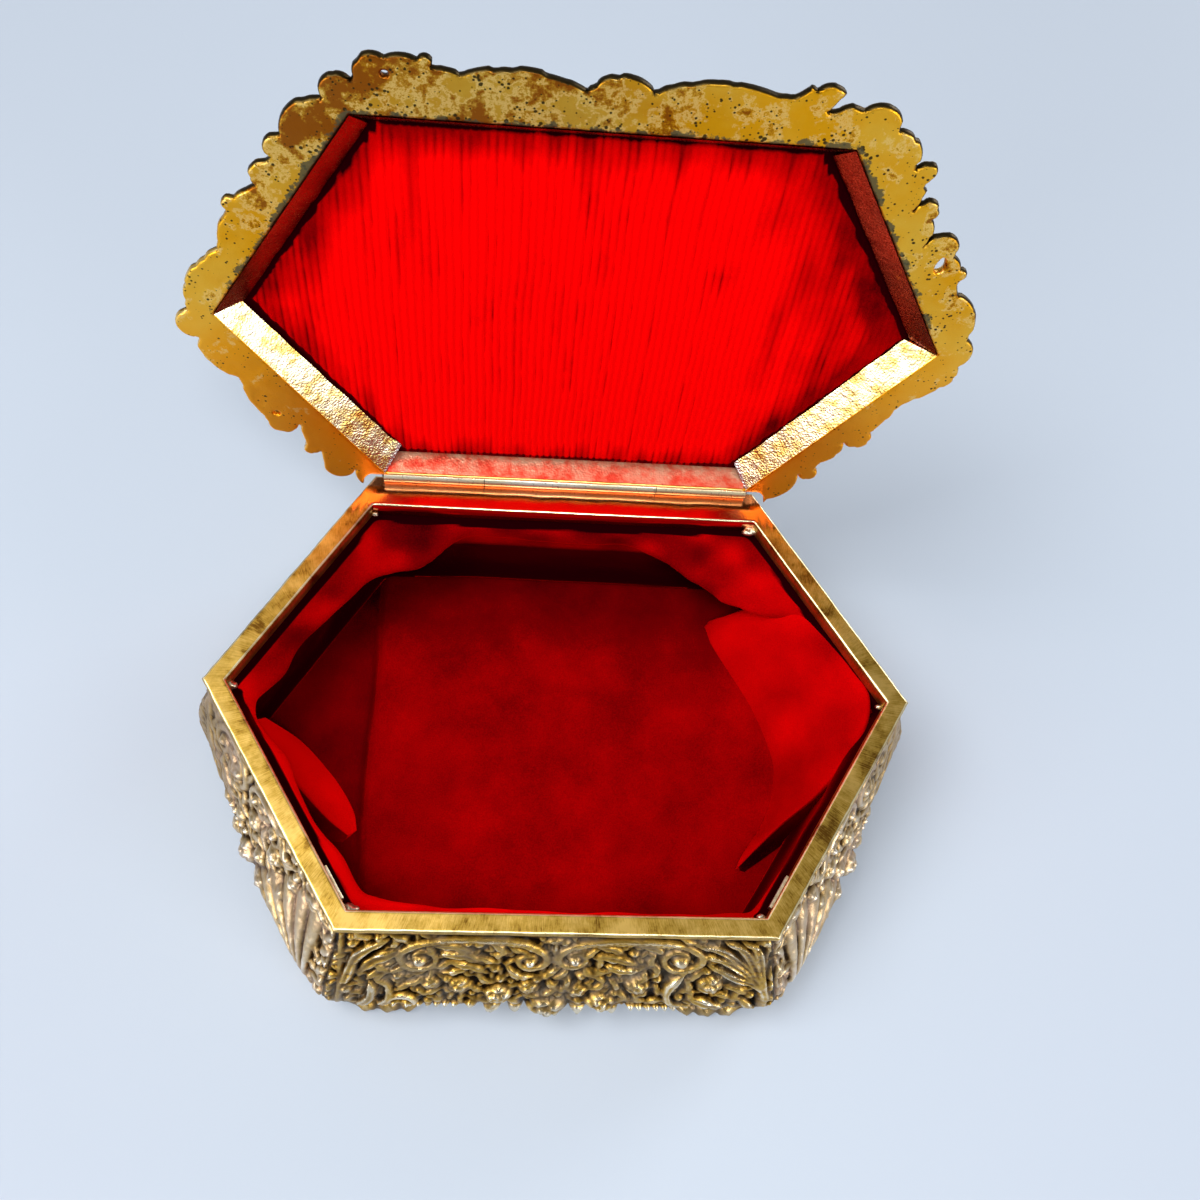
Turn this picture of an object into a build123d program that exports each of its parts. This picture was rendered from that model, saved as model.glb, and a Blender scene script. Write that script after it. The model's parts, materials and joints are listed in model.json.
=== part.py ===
from build123d import *

import os
from math import hypot

os.makedirs("parts", exist_ok=True)

# A six-sided gilt casket with a hinged lid, shown open, in millimetres.
# Origin: on the table, under the middle of the case. X runs to the right, Y to the hinge, Z up.
# Sides are counted anticlockwise from the front, seen from above.
SIDES = ("front", "right_front", "right_back", "back", "left_back", "left_front")
FRONT, RIGHT_FRONT, RIGHT_BACK, BACK, LEFT_BACK, LEFT_FRONT = range(6)

# Case, measured over the rim
CASE_HALF_WIDTH = 70.0
CASE_HALF_DEPTH = 47.6
STRAIGHT_HALF = 40.5
CASE_HEIGHT = 33.0
FOOT_HEIGHT = 4.0

# Rim
RIM_WIDTH = 3.9
RIM_BACK_WIDTH = 7.3
RIM_THICK = 2.2
LIP_THICK = 0.8
LIP_DROP = 1.6

# Cast side panels: a hollow neck under the rim that swells to a belly
PANEL_WALL = 2.2
PANEL_SET_BACK = 0.6
NECK_REACH = 0.6
NECK_DROP = 6.0
BELLY_REACH = 7.0
BELLY_HEIGHT = 7.5
HEM_REACH = 5.6
NECK_HOLLOW = 0.1
SWELL_SHARE = 0.03
HEM_HOLLOW = 0.3
HEM_HOLLOW_SHARE = 0.45
MITRE_INWARDS = 12.0
MITRE_OUTWARDS = 14.0

# Cast relief on the panels: paired C-scrolls under the rim with a leaf between them, leaves at the ends,
# and roses along the hem
SCROLL_RELIEF = 1.5
BUD_RELIEF = 2.4
ROSE_RELIEF = 3.6
RELIEF_ROOT = 0.5
FRONT_SCROLL_HALF_WIDTH = 13.8
SLANT_SCROLL_HALF_WIDTH = 9.2
SCROLL_HALF_HEIGHT = 7.6
SCROLL_BAND = 1.9
SCROLL_EYE_RADIUS = 2.6
SCROLL_GAP = 1.4
SCROLL_FROM_TOP = 2.0
LEAF_LENGTH = 16.0
LEAF_WIDTH = 5.0
LEAF_TILT = 42.0
LEAF_FROM_END = 6.0
LEAF_HEIGHT = 13.5
ROSE_RADIUS = 3.3
BUD_RADIUS = 2.5
BUD_STEP = 5.6
BUD_RISE = 3.0
FRONT_BUDS = 3
SLANT_BUDS = 2
ROSE_HEIGHT = 4.6
CENTRE_LEAF_LENGTH = 12.0
CENTRE_LEAF_WIDTH = 3.2
CENTRE_LEAF_HEIGHT = 14.5

# Bottom
BOTTOM_THICK = 1.2
BOTTOM_LIFT = 0.8
BOTTOM_GAP = 0.15
LUG_WIDTH = 6.0
LUG_LENGTH = 3.0

# Feet
FOOT_ARM_LENGTH = 13.0
FOOT_REACH = 9.0
FOOT_THICK = 5.0
FOOT_SCROLL_RADIUS = 1.9

# Solder and tabs in the well's corners
SOLDER_LEG = 1.7
SOLDER_DROP = 2.4
TAB_LENGTH = 7.0
TAB_WIDTH = 1.6
TAB_THICK = 0.5
TAB_FROM_CORNER = 2.6

# Linings of the well
CARD_THICK = 1.5
PAD_THICK = 2.8
SOFT_GAP = 0.3
LINING_THICK = 1.2
LINING_UNDER_LIP = 0.6
LINING_LOW_HEIGHT = 7.0
LINING_HIGH_HEIGHT = 15.0
# How far each side's cloth hangs into the well, low down and high up
LINING_LOW_PUFF = (1.2, 5.2, 3.4, 1.6, 3.2, 4.4)
LINING_HIGH_PUFF = (0.6, 3.4, 3.0, 1.2, 3.6, 2.6)
LINING_SWELL = (0.4, 2.2, 1.6, 0.6, 1.8, 1.4)
LINING_EDGE_SWELL = 0.25

# Hinge
BARREL_RADIUS = 1.4
PIN_RADIUS = 0.6
PIN_CLEARANCE = 0.05
PIN_END = 0.4
BARREL_LIFT = 0.2
BARREL_FROM_BACK = 0.8
BARREL_END_SET = 2.1
LID_KNUCKLE_LEFT = -17.3
LID_KNUCKLE_RIGHT = 19.0
KNUCKLE_GAP = 0.2
LEAF_THICK = 0.6
LID_LEAF_HEIGHT = 4.0
LID_OPEN_ANGLE = 95.0

# Lid
LID_SEAT_GAP = 0.15
LID_KNUCKLE_CLEARANCE = 0.3
LID_LAND = 0.8
FLANGE_THICK = 1.6
FRONT_SLOPE_INSET = 3.3
FAR_SLOPE_INSET = 4.0
NEAR_SLOPE_INSET = 4.7
HINGE_SLOPE_INSET = 3.2
SLOPE_DEPTH = 3.6
SLOPE_THICK = 0.6
DOME_WALL = 1.4
DOME_FOOT_REACH = 1.8
DOME_WALL_HEIGHT = 5.4
DOME_WALL_TOP_SHARE = 0.4
DOME_SHOULDER_INSET = 3.4
DOME_SHOULDER_RISE = 2.2
DOME_CROWN_INSET = 22.0
DOME_CROWN_RISE = 3.6
LID_VELVET_THICK = 0.8
LID_CARD_THICK = 1.2
LID_CARD_MARGIN = 0.9
LID_PANEL_GAP = 0.05
CROWN_RING_LENGTH = 58.0
CROWN_RING_WIDTH = 32.0
CROWN_RING_BAND = 2.2
CROWN_RELIEF = 1.6
CROWN_ROSE_RADIUS = 5.2
CROWN_BUD_RADIUS = 3.4
CROWN_BUD_STEP = 8.4
CROWN_BUDS = 2

# The lid border's outline. Each pair is a cusp: its share of the side, and its reach past the mouth.
BORDER_FRONT_CUSPS = ((0.03, 6.4), (0.18, 7.4), (0.44, 6.8), (0.56, 6.8), (0.82, 7.4), (0.97, 6.4))
BORDER_NEAR_FRONT_CUSPS = ((0.04, 6.2), (0.22, 6.4), (0.40, 6.8), (0.58, 6.8), (0.75, 7.0), (0.91, 6.4))
BORDER_NEAR_HINGE_CUSPS = ((0.08, 6.4), (0.22, 6.6), (0.38, 6.8), (0.60, 7.0), (0.79, 7.0), (0.96, 6.4))
BORDER_TIP = (-0.03, 6.4)
BORDER_LOBE = 0.19
BORDER_TIP_CLEAR_OF_CASE = 0.5
BORDER_HOLE_RADIUS = 0.6
# Side, share of the side and reach past the mouth of each pierced hole
BORDER_HOLES = ((LEFT_BACK, 0.50, 5.6), (LEFT_FRONT, 0.95, 5.8), (RIGHT_FRONT, 0.42, 5.8))

RIM_TOP = FOOT_HEIGHT + CASE_HEIGHT
RIM_UNDER = RIM_TOP - RIM_THICK
LIP_UNDER = RIM_UNDER - LIP_DROP
BOTTOM_UNDER = FOOT_HEIGHT + BOTTOM_LIFT
BOTTOM_TOP = BOTTOM_UNDER + BOTTOM_THICK
CARD_TOP = BOTTOM_TOP + CARD_THICK
PAD_TOP = CARD_TOP + PAD_THICK
AXIS_Y = CASE_HALF_DEPTH - BARREL_FROM_BACK
AXIS_Z = RIM_TOP + BARREL_RADIUS + BARREL_LIFT
BARREL_HALF_LENGTH = STRAIGHT_HALF - BARREL_END_SET
SEAT_Z = RIM_TOP + LID_SEAT_GAP
LID_BACK_SET = BARREL_FROM_BACK + BARREL_RADIUS + LID_KNUCKLE_CLEARANCE + LID_LAND
FAR = 60.0
CUT_MARGIN = 1.0


def moved_sides(corners, reaches):
    """Corners of an outline after each side moves outwards by its own reach."""
    lines = []
    for i, start in enumerate(corners):
        end = corners[(i + 1) % len(corners)]
        length = hypot(end[0] - start[0], end[1] - start[1])
        along = ((end[0] - start[0]) / length, (end[1] - start[1]) / length)
        foot = (start[0] + along[1] * reaches[i], start[1] - along[0] * reaches[i])
        lines.append((foot, along))
    moved = []
    for i, (foot, along) in enumerate(lines):
        before, before_along = lines[i - 1]
        cross = before_along[0] * along[1] - before_along[1] * along[0]
        run = ((foot[0] - before[0]) * along[1] - (foot[1] - before[1]) * along[0]) / cross
        moved.append((before[0] + before_along[0] * run, before[1] + before_along[1] * run))
    return moved


def even(reach):
    """The same reach for all six sides."""
    return [reach] * len(SIDES)


def with_back(reach, back):
    """The same reach for every side but the back."""
    return [back if side == "back" else reach for side in SIDES]


CASE_OUTLINE = [
    (-STRAIGHT_HALF, -CASE_HALF_DEPTH),
    (STRAIGHT_HALF, -CASE_HALF_DEPTH),
    (CASE_HALF_WIDTH, 0),
    (STRAIGHT_HALF, CASE_HALF_DEPTH),
    (-STRAIGHT_HALF, CASE_HALF_DEPTH),
    (-CASE_HALF_WIDTH, 0),
]
WELL_OUTLINE = moved_sides(CASE_OUTLINE, with_back(-RIM_WIDTH, -RIM_BACK_WIDTH))
LID_MOUTH = moved_sides(CASE_OUTLINE, with_back(-RIM_WIDTH, -LID_BACK_SET))


def outline_face(corners, z):
    """A flat face inside straight sides at a height."""
    return Pos(0, 0, z) * make_face(Polyline(*corners, close=True))


def prism(corners, low, high):
    """A straight block over an outline."""
    return extrude(outline_face(corners, low), amount=high - low, dir=(0, 0, 1))


def side_point(corners, side, share, reach):
    """A point at a share of a side and a reach outwards from it."""
    start = corners[side]
    end = corners[(side + 1) % len(corners)]
    length = hypot(end[0] - start[0], end[1] - start[1])
    along = ((end[0] - start[0]) / length, (end[1] - start[1]) / length)
    return (
        start[0] + (end[0] - start[0]) * share + along[1] * reach,
        start[1] + (end[1] - start[1]) * share - along[0] * reach,
    )


def side_length(corners, side):
    """Length of one side."""
    start = corners[side]
    end = corners[(side + 1) % len(corners)]
    return hypot(end[0] - start[0], end[1] - start[1])


def side_plane(corners, side, share=0.5):
    """Plane across a side: its X points outwards, its Y up, and its origin lies on the side."""
    start = corners[side]
    end = corners[(side + 1) % len(corners)]
    length = side_length(corners, side)
    along = ((end[0] - start[0]) / length, (end[1] - start[1]) / length)
    x, y = side_point(corners, side, share, 0)
    return Plane(origin=(x, y, 0), x_dir=(along[1], -along[0], 0), z_dir=(-along[0], -along[1], 0))


def side_wedge(corners, side, inwards, outwards):
    """The block between the two mitre planes of a side."""
    inner = moved_sides(corners, even(-inwards))
    outer = moved_sides(corners, even(outwards))
    after = (side + 1) % len(corners)
    return prism([inner[side], inner[after], outer[after], outer[side]], -FAR, 2 * FAR)


def mitred_bar(corners, side, profile):
    """A profile run along one side and mitred where it meets the next sides."""
    bar = extrude(side_plane(corners, side) * profile, amount=side_length(corners, side), both=True)
    return bar & side_wedge(corners, side, MITRE_INWARDS, MITRE_OUTWARDS)


def save(name, shape):
    """Write one sub-part."""
    solids = shape.solids()
    export_step(solids[0] if len(solids) == 1 else Compound(children=solids), f"parts/{name}.step")


# Case

PANEL_TOP = RIM_UNDER


def panel_outer_edges(shift):
    """The outside of a panel's section, from the rim down, moved inwards by a shift."""
    top = (-PANEL_SET_BACK - shift, PANEL_TOP)
    neck = (NECK_REACH - shift, PANEL_TOP - NECK_DROP)
    belly = (BELLY_REACH - shift, FOOT_HEIGHT + BELLY_HEIGHT)
    hem = (HEM_REACH - shift, FOOT_HEIGHT)
    neck_middle = (-PANEL_SET_BACK - shift + NECK_HOLLOW, PANEL_TOP - NECK_DROP / 2)
    neck_edge = ThreePointArc(top, neck_middle, neck)
    swell_middle = (
        (neck[0] + belly[0]) / 2 + (neck[1] - belly[1]) * SWELL_SHARE,
        (neck[1] + belly[1]) / 2 - (belly[0] - neck[0]) * SWELL_SHARE,
    )
    swell_edge = ThreePointArc(neck, swell_middle, belly)
    hem_middle = (BELLY_REACH - shift - HEM_HOLLOW, FOOT_HEIGHT + BELLY_HEIGHT * HEM_HOLLOW_SHARE)
    hem_edge = ThreePointArc(belly, hem_middle, hem)
    return [neck_edge, swell_edge, hem_edge]


def panel_profile():
    """A panel's whole section."""
    outer = panel_outer_edges(0)
    inner = panel_outer_edges(PANEL_WALL)
    head = Line((-PANEL_SET_BACK, PANEL_TOP), (-PANEL_SET_BACK - PANEL_WALL, PANEL_TOP))
    foot = Line((HEM_REACH, FOOT_HEIGHT), (HEM_REACH - PANEL_WALL, FOOT_HEIGHT))
    return make_face([*outer, *inner, head, foot])


def relief_plane(side):
    """Plane to draw a side's ornament on: its X runs along the side and its Y up."""
    upright = side_plane(CASE_OUTLINE, side)
    return Plane(origin=upright.origin, x_dir=-upright.z_dir, z_dir=upright.x_dir)


def relief_layer(height):
    """Section of the skin that an ornament of this height may fill."""
    inner = panel_outer_edges(RELIEF_ROOT)
    outer = panel_outer_edges(-height)
    head = Line((-PANEL_SET_BACK - RELIEF_ROOT, PANEL_TOP), (-PANEL_SET_BACK + height, PANEL_TOP))
    foot = Line((HEM_REACH - RELIEF_ROOT, FOOT_HEIGHT), (HEM_REACH + height, FOOT_HEIGHT))
    return make_face([*inner, *outer, head, foot])


def scroll_sketch(half_width, way):
    """A C-scroll: a wide arch that ends in two round eyes."""
    middle_y = PANEL_TOP - SCROLL_FROM_TOP - SCROLL_HALF_HEIGHT
    hollow = Ellipse(half_width - SCROLL_BAND, SCROLL_HALF_HEIGHT - SCROLL_BAND)
    ring = Ellipse(half_width, SCROLL_HALF_HEIGHT) - hollow
    arch = ring & (Pos(0, half_width) * Rectangle(4 * half_width, 2 * half_width))
    for end in (-1, 1):
        arch = arch + Pos(end * (half_width - SCROLL_EYE_RADIUS), 0) * Circle(SCROLL_EYE_RADIUS)
    return Pos(way * (half_width + SCROLL_GAP / 2), middle_y) * arch


def panel_relief(side):
    """A side's raised ornament, cut to the panel's own swell."""
    straight = side in (FRONT, BACK)
    half_width = FRONT_SCROLL_HALF_WIDTH if straight else SLANT_SCROLL_HALF_WIDTH
    buds = FRONT_BUDS if straight else SLANT_BUDS
    half = side_length(CASE_OUTLINE, side) / 2
    low = Pos(0, FOOT_HEIGHT + CENTRE_LEAF_HEIGHT) * Ellipse(CENTRE_LEAF_WIDTH / 2, CENTRE_LEAF_LENGTH / 2)
    middle = Sketch()
    high = Pos(0, FOOT_HEIGHT + ROSE_HEIGHT) * Circle(ROSE_RADIUS)
    for way in (-1, 1):
        low = low + scroll_sketch(half_width, way)
        leaf = Rot(0, 0, -way * LEAF_TILT) * Ellipse(LEAF_LENGTH / 2, LEAF_WIDTH / 2)
        low = low + Pos(way * (half - LEAF_FROM_END), FOOT_HEIGHT + LEAF_HEIGHT) * leaf
        for i in range(1, buds + 1):
            bud_y = FOOT_HEIGHT + ROSE_HEIGHT + BUD_RISE * i
            middle = middle + Pos(way * BUD_STEP * i, bud_y) * Circle(BUD_RADIUS)
    plane = relief_plane(side)
    raised = []
    for sketch, height in ((low, SCROLL_RELIEF), (middle, BUD_RELIEF), (high, ROSE_RELIEF)):
        through = extrude(plane * sketch, amount=BELLY_REACH + 2 * height, dir=plane.z_dir)
        raised.append(through & mitred_bar(CASE_OUTLINE, side, relief_layer(height)))
    return raised


rim = prism(CASE_OUTLINE, RIM_UNDER, RIM_TOP)
rim = rim - prism(WELL_OUTLINE, RIM_UNDER - CUT_MARGIN, RIM_TOP + CUT_MARGIN)
lip_outline = moved_sides(WELL_OUTLINE, even(LIP_THICK))
lip = prism(lip_outline, LIP_UNDER, RIM_UNDER)
lip = lip - prism(WELL_OUTLINE, LIP_UNDER - CUT_MARGIN, RIM_TOP + CUT_MARGIN)
save("rim_frame", rim + lip)

profile = panel_profile()
for side, name in enumerate(SIDES):
    panel = mitred_bar(CASE_OUTLINE, side, profile)
    for ornament in panel_relief(side):
        panel = panel + ornament
    save(f"{name}_panel", panel)

bottom_reach = HEM_REACH - PANEL_WALL - BOTTOM_GAP
bottom_outline = moved_sides(CASE_OUTLINE, even(bottom_reach))
save("bottom_plate", prism(bottom_outline, BOTTOM_UNDER, BOTTOM_TOP))

lugs = []
for side in range(len(SIDES)):
    lug_place = Pos(bottom_reach - LUG_LENGTH / 2, BOTTOM_UNDER - BOTTOM_LIFT / 2)
    lug_section = side_plane(CASE_OUTLINE, side) * lug_place * Rectangle(LUG_LENGTH, BOTTOM_LIFT)
    lugs.append(extrude(lug_section, amount=LUG_WIDTH / 2, both=True))
save("bottom_lugs", Compound(children=lugs))


def corner_foot(corner):
    """A foot that wraps a corner: two short arms, each ending in a scroll."""
    band = []
    for side, first in (((corner - 1) % len(SIDES), False), (corner, True)):
        length = side_length(CASE_OUTLINE, side)
        bar_face = Pos(FOOT_REACH - FOOT_THICK / 2, FOOT_HEIGHT / 2) * Rectangle(FOOT_THICK, FOOT_HEIGHT)
        bar = mitred_bar(CASE_OUTLINE, side, bar_face)
        share = FOOT_ARM_LENGTH / length if first else 1 - FOOT_ARM_LENGTH / length
        end_plane = side_plane(CASE_OUTLINE, side, share)
        away = end_plane.z_dir * (-1 if first else 1)
        cut = extrude(end_plane * Rectangle(FAR, 2 * FAR), amount=2 * FAR, dir=away)
        centre = end_plane * Pos(FOOT_REACH - FOOT_THICK / 2, FOOT_SCROLL_RADIUS, 0)
        scroll = centre * Rot(0, 90, 0) * Cylinder(FOOT_SCROLL_RADIUS, FOOT_THICK)
        band.append(bar - cut)
        band.append(scroll)
    foot = band[0]
    for piece in band[1:]:
        foot = foot + piece
    return foot


save("front_left_foot", corner_foot(0))
save("front_right_foot", corner_foot(1))
save("back_right_foot", corner_foot(3))
save("back_left_foot", corner_foot(4))

solder = []
for corner, point in enumerate(WELL_OUTLINE):
    share_before = 1 - SOLDER_LEG / side_length(WELL_OUTLINE, corner - 1)
    share_after = SOLDER_LEG / side_length(WELL_OUTLINE, corner)
    before = side_point(WELL_OUTLINE, corner - 1, share_before, 0)
    after = side_point(WELL_OUTLINE, corner, share_after, 0)
    low, high = RIM_UNDER - SOLDER_DROP / 2, RIM_UNDER + SOLDER_DROP / 2
    solder.append(prism([before, point, after], low, high))
save("corner_solder", Compound(children=solder))

tabs = []
for side, at_start in ((LEFT_FRONT, False), (RIGHT_FRONT, True)):
    length = side_length(WELL_OUTLINE, side)
    middle = (TAB_FROM_CORNER + TAB_LENGTH / 2) / length
    share = middle if at_start else 1 - middle
    tab_middle_z = LIP_UNDER + SOFT_GAP + TAB_WIDTH / 2
    tab_face = Pos(-TAB_THICK / 2, tab_middle_z) * Rectangle(TAB_THICK, TAB_WIDTH)
    tab_face = side_plane(WELL_OUTLINE, side, share) * tab_face
    tabs.append(extrude(tab_face, amount=TAB_LENGTH / 2, both=True))
save("rim_tabs", Compound(children=tabs))

# Linings of the well

lining_outside = moved_sides(WELL_OUTLINE, even(LINING_UNDER_LIP))
lining_inside = moved_sides(lining_outside, even(-LINING_THICK))
pad_outline = moved_sides(lining_inside, even(-SOFT_GAP))
save("floor_card", prism(lining_outside, BOTTOM_TOP, CARD_TOP))
save("floor_pad", prism(pad_outline, CARD_TOP, PAD_TOP))


def cloth_outline(puffs, swells, z):
    """The cloth's inner outline at a height: each side hangs in by its puff and bows by its swell."""
    corners = moved_sides(lining_inside, [-puff for puff in puffs])
    edges = []
    for side in range(len(SIDES)):
        start = corners[side]
        end = corners[(side + 1) % len(corners)]
        middle = side_point(corners, side, 0.5, -swells[side])
        edges.append(ThreePointArc((*start, z), (*middle, z), (*end, z)))
    return Wire(edges)


still = even(LINING_EDGE_SWELL)
low_z = PAD_TOP + LINING_LOW_HEIGHT
high_z = PAD_TOP + LINING_HIGH_HEIGHT
cloth_sections = [
    cloth_outline(even(0.0), still, PAD_TOP + SOFT_GAP),
    cloth_outline(LINING_LOW_PUFF, LINING_SWELL, low_z),
    cloth_outline(LINING_HIGH_PUFF, LINING_SWELL, high_z),
    cloth_outline(even(0.0), still, LIP_UNDER + SOFT_GAP),
]
cloth_well = Solid.make_loft(cloth_sections)
pad_well = prism(lining_inside, CARD_TOP - CUT_MARGIN, PAD_TOP + SOFT_GAP)
band = prism(lining_outside, CARD_TOP, LIP_UNDER)
save("wall_lining", band - cloth_well - pad_well)

# Hinge


def knuckle(left, right):
    """One barrel knuckle on the hinge axis, bored for the pin."""
    place = Pos((left + right) / 2, AXIS_Y, AXIS_Z) * Rot(0, 90, 0)
    length = right - left
    bore = Cylinder(PIN_RADIUS + PIN_CLEARANCE, length + 2 * CUT_MARGIN)
    return place * (Cylinder(BARREL_RADIUS, length) - bore)


def block(low, high):
    """A box between two corners."""
    size = [b - a for a, b in zip(low, high)]
    return Pos(*[(a + b) / 2 for a, b in zip(low, high)]) * Box(*size)


pin_bore = Pos(0, AXIS_Y, AXIS_Z) * Rot(0, 90, 0) * Cylinder(
    PIN_RADIUS + PIN_CLEARANCE, 2 * (BARREL_HALF_LENGTH + CUT_MARGIN)
)
case_knuckles = knuckle(-BARREL_HALF_LENGTH, LID_KNUCKLE_LEFT - KNUCKLE_GAP)
case_knuckles = case_knuckles + knuckle(LID_KNUCKLE_RIGHT + KNUCKLE_GAP, BARREL_HALF_LENGTH)
leaf_back = CASE_HALF_DEPTH + LEAF_THICK
case_leaf = block(
    (-BARREL_HALF_LENGTH, CASE_HALF_DEPTH, RIM_UNDER), (BARREL_HALF_LENGTH, leaf_back, RIM_TOP)
)
for left, right in ((-BARREL_HALF_LENGTH, LID_KNUCKLE_LEFT - KNUCKLE_GAP),
                    (LID_KNUCKLE_RIGHT + KNUCKLE_GAP, BARREL_HALF_LENGTH)):
    arm = block((left, CASE_HALF_DEPTH, RIM_TOP), (right, leaf_back, AXIS_Z))
    case_leaf = case_leaf + arm
save("base_hinge_leaf", (case_knuckles + case_leaf) - pin_bore)

pin_half = BARREL_HALF_LENGTH + PIN_END
save("hinge_pin", Pos(0, AXIS_Y, AXIS_Z) * Rot(0, 90, 0) * Cylinder(PIN_RADIUS, 2 * pin_half))


def opened(shape):
    """Turn a lid piece about the hinge from closed to the open rest pose."""
    return shape.rotate(Axis((0, AXIS_Y, AXIS_Z), (1, 0, 0)), -LID_OPEN_ANGLE)


lid_leaf_front = AXIS_Y - BARREL_RADIUS - LID_KNUCKLE_CLEARANCE
lid_leaf = block(
    (LID_KNUCKLE_LEFT, lid_leaf_front, AXIS_Z - PIN_RADIUS),
    (LID_KNUCKLE_RIGHT, lid_leaf_front + LEAF_THICK, SEAT_Z + FLANGE_THICK + LID_LEAF_HEIGHT),
)
lid_knuckle = knuckle(LID_KNUCKLE_LEFT, LID_KNUCKLE_RIGHT)
save("lid_hinge_leaf", opened((lid_knuckle + lid_leaf) - pin_bore))

# Lid, drawn closed and then opened


def border_points():
    """The closed lid border's cusps, from its left hinge corner round the front to its right one."""
    cusps = {
        FRONT: BORDER_FRONT_CUSPS,
        RIGHT_FRONT: [(1 - share, reach) for share, reach in reversed(BORDER_NEAR_FRONT_CUSPS)],
        LEFT_FRONT: BORDER_NEAR_FRONT_CUSPS,
        RIGHT_BACK: BORDER_NEAR_HINGE_CUSPS,
        LEFT_BACK: [(1 - share, reach) for share, reach in reversed(BORDER_NEAR_HINGE_CUSPS)],
    }
    points = [side_point(LID_MOUTH, LEFT_BACK, *BORDER_TIP)]
    for side in (LEFT_BACK, LEFT_FRONT, FRONT, RIGHT_FRONT, RIGHT_BACK):
        points += [side_point(LID_MOUTH, side, share, reach) for share, reach in cusps[side]]
    points.append(side_point(LID_MOUTH, RIGHT_BACK, 1 - BORDER_TIP[0], BORDER_TIP[1]))
    return points


def lobe(start, end):
    """An outward arc between two cusps of an anticlockwise outline."""
    run = hypot(end[0] - start[0], end[1] - start[1])
    out_x, out_y = (end[1] - start[1]) / run, -(end[0] - start[0]) / run
    rise = run * BORDER_LOBE
    middle = ((start[0] + end[0]) / 2 + out_x * rise, (start[1] + end[1]) / 2 + out_y * rise)
    return ThreePointArc(start, middle, end)


border = border_points()
# Behind the axis the border's tips swing down past the case's back corners, so they stay clear of them
swing_y = AXIS_Y - BARREL_RADIUS - BARREL_LIFT
corner_x = CASE_HALF_WIDTH - (CASE_HALF_WIDTH - STRAIGHT_HALF) * swing_y / CASE_HALF_DEPTH
tip_x = corner_x + BORDER_TIP_CLEAR_OF_CASE
border_edges = [lobe(start, end) for start, end in zip(border, border[1:])]
right_tip, left_tip = border[-1], border[0]
border_edges.append(Line(right_tip, (tip_x, lid_leaf_front)))
border_edges.append(Line((tip_x, lid_leaf_front), (-tip_x, lid_leaf_front)))
border_edges.append(Line((-tip_x, lid_leaf_front), left_tip))
flange_face = make_face(border_edges) - make_face(Polyline(*LID_MOUTH, close=True))
flange = extrude(Pos(0, 0, SEAT_Z) * flange_face, amount=FLANGE_THICK, dir=(0, 0, 1))
for side, share, reach in BORDER_HOLES:
    x, y = side_point(LID_MOUTH, side, share, reach)
    flange = flange - Pos(x, y, SEAT_Z) * Cylinder(BORDER_HOLE_RADIUS, 4 * FLANGE_THICK)
save("lid_flange", opened(flange))

# The strips lean in by different amounts: least at the front and the hinge, most beside the hinge
slope_insets = {
    FRONT: FRONT_SLOPE_INSET,
    RIGHT_FRONT: FAR_SLOPE_INSET,
    RIGHT_BACK: NEAR_SLOPE_INSET,
    BACK: HINGE_SLOPE_INSET,
    LEFT_BACK: NEAR_SLOPE_INSET,
    LEFT_FRONT: FAR_SLOPE_INSET,
}
for side, inset in slope_insets.items():
    slope_corners = [(0, 0), (-inset, SLOPE_DEPTH), (SLOPE_THICK - inset, SLOPE_DEPTH), (0, SLOPE_THICK)]
    slope_profile = Pos(0, SEAT_Z) * make_face(Polyline(*slope_corners, close=True))
    save(f"lid_wall_{SIDES[side]}", opened(mitred_bar(LID_MOUTH, side, slope_profile)))

velvet_low = SEAT_Z + SLOPE_DEPTH + LID_PANEL_GAP
velvet_high = velvet_low + LID_VELVET_THICK
lid_panel_outline = moved_sides(LID_MOUTH, even(LID_CARD_MARGIN - HINGE_SLOPE_INSET))
save("lid_lining", opened(prism(lid_panel_outline, velvet_low, velvet_high)))
save("lid_card", opened(prism(lid_panel_outline, velvet_high, velvet_high + LID_CARD_THICK)))


def dome_shape(shrink):
    """The dome's outside, or its inside when shrunk by the wall."""
    foot = SEAT_Z + FLANGE_THICK
    wall_top = foot + DOME_WALL_HEIGHT - shrink * DOME_WALL_TOP_SHARE
    shoulder = foot + DOME_WALL_HEIGHT + DOME_SHOULDER_RISE - shrink
    crown = foot + DOME_WALL_HEIGHT + DOME_SHOULDER_RISE + DOME_CROWN_RISE - shrink
    steps = (
        (foot, with_back(DOME_FOOT_REACH - shrink, LID_LAND - shrink)),
        (wall_top, with_back(-shrink, LID_LAND - shrink)),
        (shoulder, even(-DOME_SHOULDER_INSET - shrink)),
        (crown, even(-DOME_CROWN_INSET - shrink)),
    )
    wires = []
    for z, reach in steps:
        corners = [(x, y, z) for x, y in moved_sides(LID_MOUTH, reach)]
        wires.append(Wire(Polyline(*corners, close=True)))
    return Solid.make_loft(wires, ruled=True)


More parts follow.
